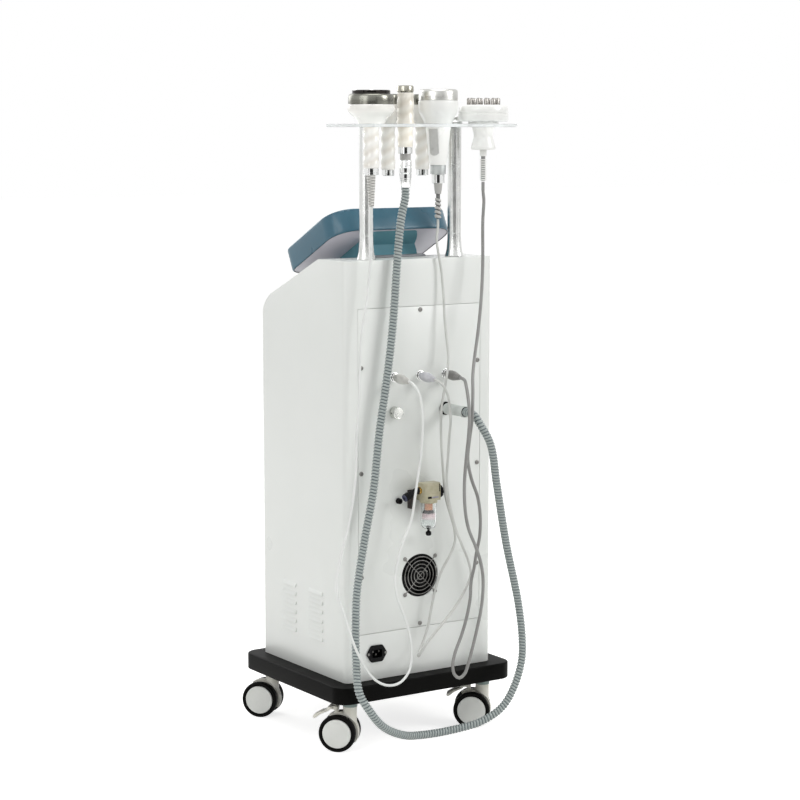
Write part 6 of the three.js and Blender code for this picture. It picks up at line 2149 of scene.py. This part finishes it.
@dataclass
class SmallVacuum(Handpiece):
    """Small vacuum head with a metal tip and a coupling for the hose."""

    dents: Dents = Dents(((-43, -2), (2, 56)), 0.8, 22)

    def build(self) -> None:
        """Makes the tip, the body, the ring, the neck and the coupling."""
        upper = flowing([(18.0, 0), (17.8, 3), (16.6, 11), (15.8, 18), (16.2, 27), (16.6, 35), (16.1, 45),
                         (15.7, 58.6)], 1.2)
        lower = flowing([(14.2, -44), (15.0, -38), (15.2, -32), (14.6, -20), (15.1, -9), (15.2, -0.5)], 1.2)
        form = Form.turned(capped(lower), 56).warped(self.dents.pressed)
        form.with_(Form.turned(capped(upper), 56).warped(self.dents.pressed))
        # The dent mark carries painted shade in the dents and a painted highlight on the ridges
        form.marked("dent", self.dents.tone)
        warm = replace(PEARL, name="warm_pearl_lacquer", colour="F6F1E6", shade="D9CFBC")
        self.put(form, "small_vacuum_shell", warm, ["small_vacuum_body"])
        tip = [(0, 58.9), (15.2, 58.9), (15.4, 61), (16, 61.6), (16, 69), (15.2, 71.2), (13.4, 72.3),
               (12.2, 72.3), (11.6, 71.4), (11.2, 66), (0, 66)]
        polished = replace(GUNMETAL, name="polished_nickel_tip", colour="A9A79C", shade="8E8B7F",
                           roughness=0.16, slot="brushed_metal")
        self.put(Form.turned(tip, 64), "small_tip_ring", polished, ["small_vacuum_tip"])
        ring_top = -44.3
        self.turn("small_tail_ring", CHROME, 64, raised([
            (13.2, -12.7), (13.8, -12.1), (13.8, -0.5), (13.3, 0)], ring_top), ["small_vacuum_coupling"])
        neck_foot = ring_top - 25
        self.turn("small_grey_neck", GREY_PVC, 48, [(10.4, neck_foot), (10.4, ring_top - 12.6)])
        foot, _ = self.span("small_vacuum_coupling")
        coupling = raised([(9.2, 0), (9.9, 1), (10.4, 12), (11.2, 13), (11.2, 16), (11.8, 16.8), (11.8, 26),
                           (11.3, 26.6), (11.3, 28), (11.8, 28.6), (12, 37), (11.3, 38), (11.3, 39.4),
                           (12, 40)], foot)
        self.turn("small_coupling", CHROME, 56, [*coupling, (11.8, neck_foot - 1), (11.2, neck_foot)])


@dataclass
class Cavitation(Handpiece):
    """Cavitation head: brushed cap on a white cone whose grip has a flat pressed into it."""

    heading: float = 30.0
    thin_layer: float = 0.5
    lean: float = 7.1
    flat_reach: float = 19.2

    def flat(self, deep: float) -> Form:
        """Makes the prism that presses the flat, square at its top and round at its foot, towards +X.

        Args:
            deep: how far the prism reaches outwards.

        Returns:
            The prism, leaning as the cone does, before it is turned to its heading.
        """
        arc = [(12 * math.cos(math.pi * turn / 24), -49 - 12 * math.sin(math.pi * turn / 24))
               for turn in range(25)]
        form = Form.slab([(-12, -9), *reversed(arc), (12, -9)], 0, deep, Plane.YZ)
        return form.rotated(self.lean, "Y", (0, 0, -35)).moved(self.flat_reach)

    def build(self) -> None:
        """Makes the cap, the cone with its flat, the clear and chromed rings and the relief."""
        head = flowing([(27.0, 0), (27.6, 2), (30.5, 9), (34.5, 17), (37.2, 24), (38.2, 30), (38.5, 36),
                        (38.4, 43.6), (38.0, 44.2)], 1.2)
        form = Form.turned(capped(head), 80)
        grip = flowing([(15.9, -79), (17.2, -70), (19.8, -48), (22.4, -24), (24.6, -4), (25, -0.3)], 2.5)
        cone = Form.turned(capped(grip), 80)
        # A thin grey layer on the pressed flat is painted shade
        thin_layer = cone.copy()
        form.with_(cone.cut(self.flat(20).rotated(self.heading, "Z")))
        thin = self.flat(20).moved(-self.thin_layer).cut(self.flat(20).moved(0.02))
        thin_layer = thin_layer.common(thin.rotated(self.heading, "Z"))
        self.put(form, "cavitation_shell", WHITE_ABS, ["cavitation_handle"])
        grey = replace(PLUG_PEARL, name="grey_flat_painted_shade", colour="C4C4C2", shade="B8B8B6", roughness=0.3)
        self.put(thin_layer, "cavitation_flat_painted_shade", grey)
        cap = [(0, 44.4), (37.2, 44.4), (37.8, 45.0), (37.8, 60), (37.0, 63.2), (34.8, 65.4), (32.4, 66),
               (0, 66.2)]
        at = self.origin()
        finish = replace(SATIN_ALUMINIUM, name="brushed_aluminium_cap", centre=(at.x, at.y, 0.0), grain=1.2)
        self.put(Form.turned(cap, 96), "cavitation_cap_shell", finish, ["cavitation_cap"])
        self.turn("cavitation_core", WHITE_ABS, 56, [(11.4, -103), (12.2, -97), (13.2, -79.2)])
        clear = [(13.6, -96.4), (14.8, -96.4), (15.2, -95.9), (15.7, -79.8), (15.4, -79.3), (13.6, -79.3)]
        frosted = replace(POLYCARBONATE, name="frosted_ring", colour="E4E7E6", shade="D6DAD9", roughness=0.22,
                          transmission=0.55)
        self.put(Form.turned(clear, 56, closed=True), "cavitation_clear_ring", frosted)
        ferrule = [(12.1, -114), (12.7, -113.4), (12.7, -97.4), (12.1, -96.8)]
        self.turn("cavitation_ferrule", CHROME, 56, ferrule)
        self.relief("cavitation_strain_relief", "cavitation_relief", RELIEF_GREY, (8.5, 6.2, 0.3),
                    (6.25, 4.0, 8.0), 2.0)


@dataclass
class Multipolar(Handpiece):
    """Multipolar head: a disc with a ring of contact pins over a cup-shaped grip."""

    pins: int = 12
    pin_circle: float = 58.0
    pin_width: float = 8.0

    def build(self) -> None:
        """Makes the cup, the disc, the pins and the relief."""
        cup = flowing([(21.8, -50.3), (23.4, -48.6), (23.8, -46), (20.8, -34), (18.8, -25), (20.6, -12),
                       (24.6, -2), (25.4, -0.2)], 1.2)
        form = Form.turned(capped([(21.2, -50.3), *cup]), 72)
        form.with_(Form.turned([(0, 0), (29, 0), (29.4, 0.5), (29.4, 3.6), (28.6, 4.1), (0, 4.1)], 72))
        self.put(form, "multipolar_cup", WHITE_ABS, ["multipolar_handle"])
        disc = [(0, 4.3), (45.5, 4.3), (47.8, 5.2), (48.8, 7.4), (49, 18.6), (48.5, 19.2), (47.9, 19.4),
                (47.9, 20.4), (48.5, 20.6), (48.8, 21.4), (47.6, 32.4), (46.4, 35), (44, 36.4), (0, 36.5)]
        self.put(Form.turned(disc, 96), "multipolar_disc", WHITE_ABS, ["multipolar_head"])
        pin = [(0, 36.3), (self.pin_width / 2, 36.3), (self.pin_width / 2, 47.0), (3.3, 48.8), (1.9, 49.6),
               (0, 49.7)]
        pins = [Form.turned(pin, 28).moved(self.pin_circle / 2).rotated(360 * index / self.pins + 4, "Z")
                for index in range(self.pins)]
        nickel = replace(CHROME, name="nickel_plate", colour="A8A5A1", shade="8E8B87", roughness=0.22)
        self.put(Form().with_(*pins), "multipolar_pins", nickel)
        self.relief("multipolar_strain_relief", "multipolar_relief", RELIEF_WHITE, (6.9, 6.5, 0.2),
                    (6.5, 4.2, 4.3), 0.0)


class Works:
    """What stands inside the cabinet: the frame's own solids with a cast finish."""

    def build(self, nodes: dict[str, bpy.types.Object]) -> None:
        """Dresses the pump and the power supply.

        Args:
            nodes: the frame's objects by name.
        """
        for name in ("vacuum_pump", "power_supply"):
            data = nodes[name].data
            data.materials.clear()
            data.materials.append(CAST_GREY.material())
            LOG.info("%s keeps its frame solid", name)


def main() -> None:
    """Loads the frame, dresses it and sets the stage."""
    logging.basicConfig(level=logging.INFO, format="%(message)s")
    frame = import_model()
    joints = {joint["name"]: joint for joint in frame["joints"]}
    Studio().build()
    ServicePanel().build()
    LargeVacuum("large_vacuum_handle", "large_vacuum_handpiece").build()
    MediumHead("medium_head_left", "medium_handpiece_left").build()
    MediumHead("medium_head_right", "medium_handpiece_right").build()
    SmallVacuum("small_vacuum_tip", "small_vacuum_handpiece").build()
    Cavitation("cavitation_cap", "cavitation_handpiece").build()
    Multipolar("multipolar_head", "multipolar_handpiece").build()
    Cords().build()
    Cabinet().build()
    CoolingFan().build()
    MainsInlet().build()
    AirFilter().build()
    for name in ("rear_left", "rear_right", "front_left", "front_right"):
        Castor(name, name.startswith("rear")).build(joints)
    Console().build()
    Holder().build()
    Works().build(frame["nodes"])


if __name__ == "__main__":
    main()
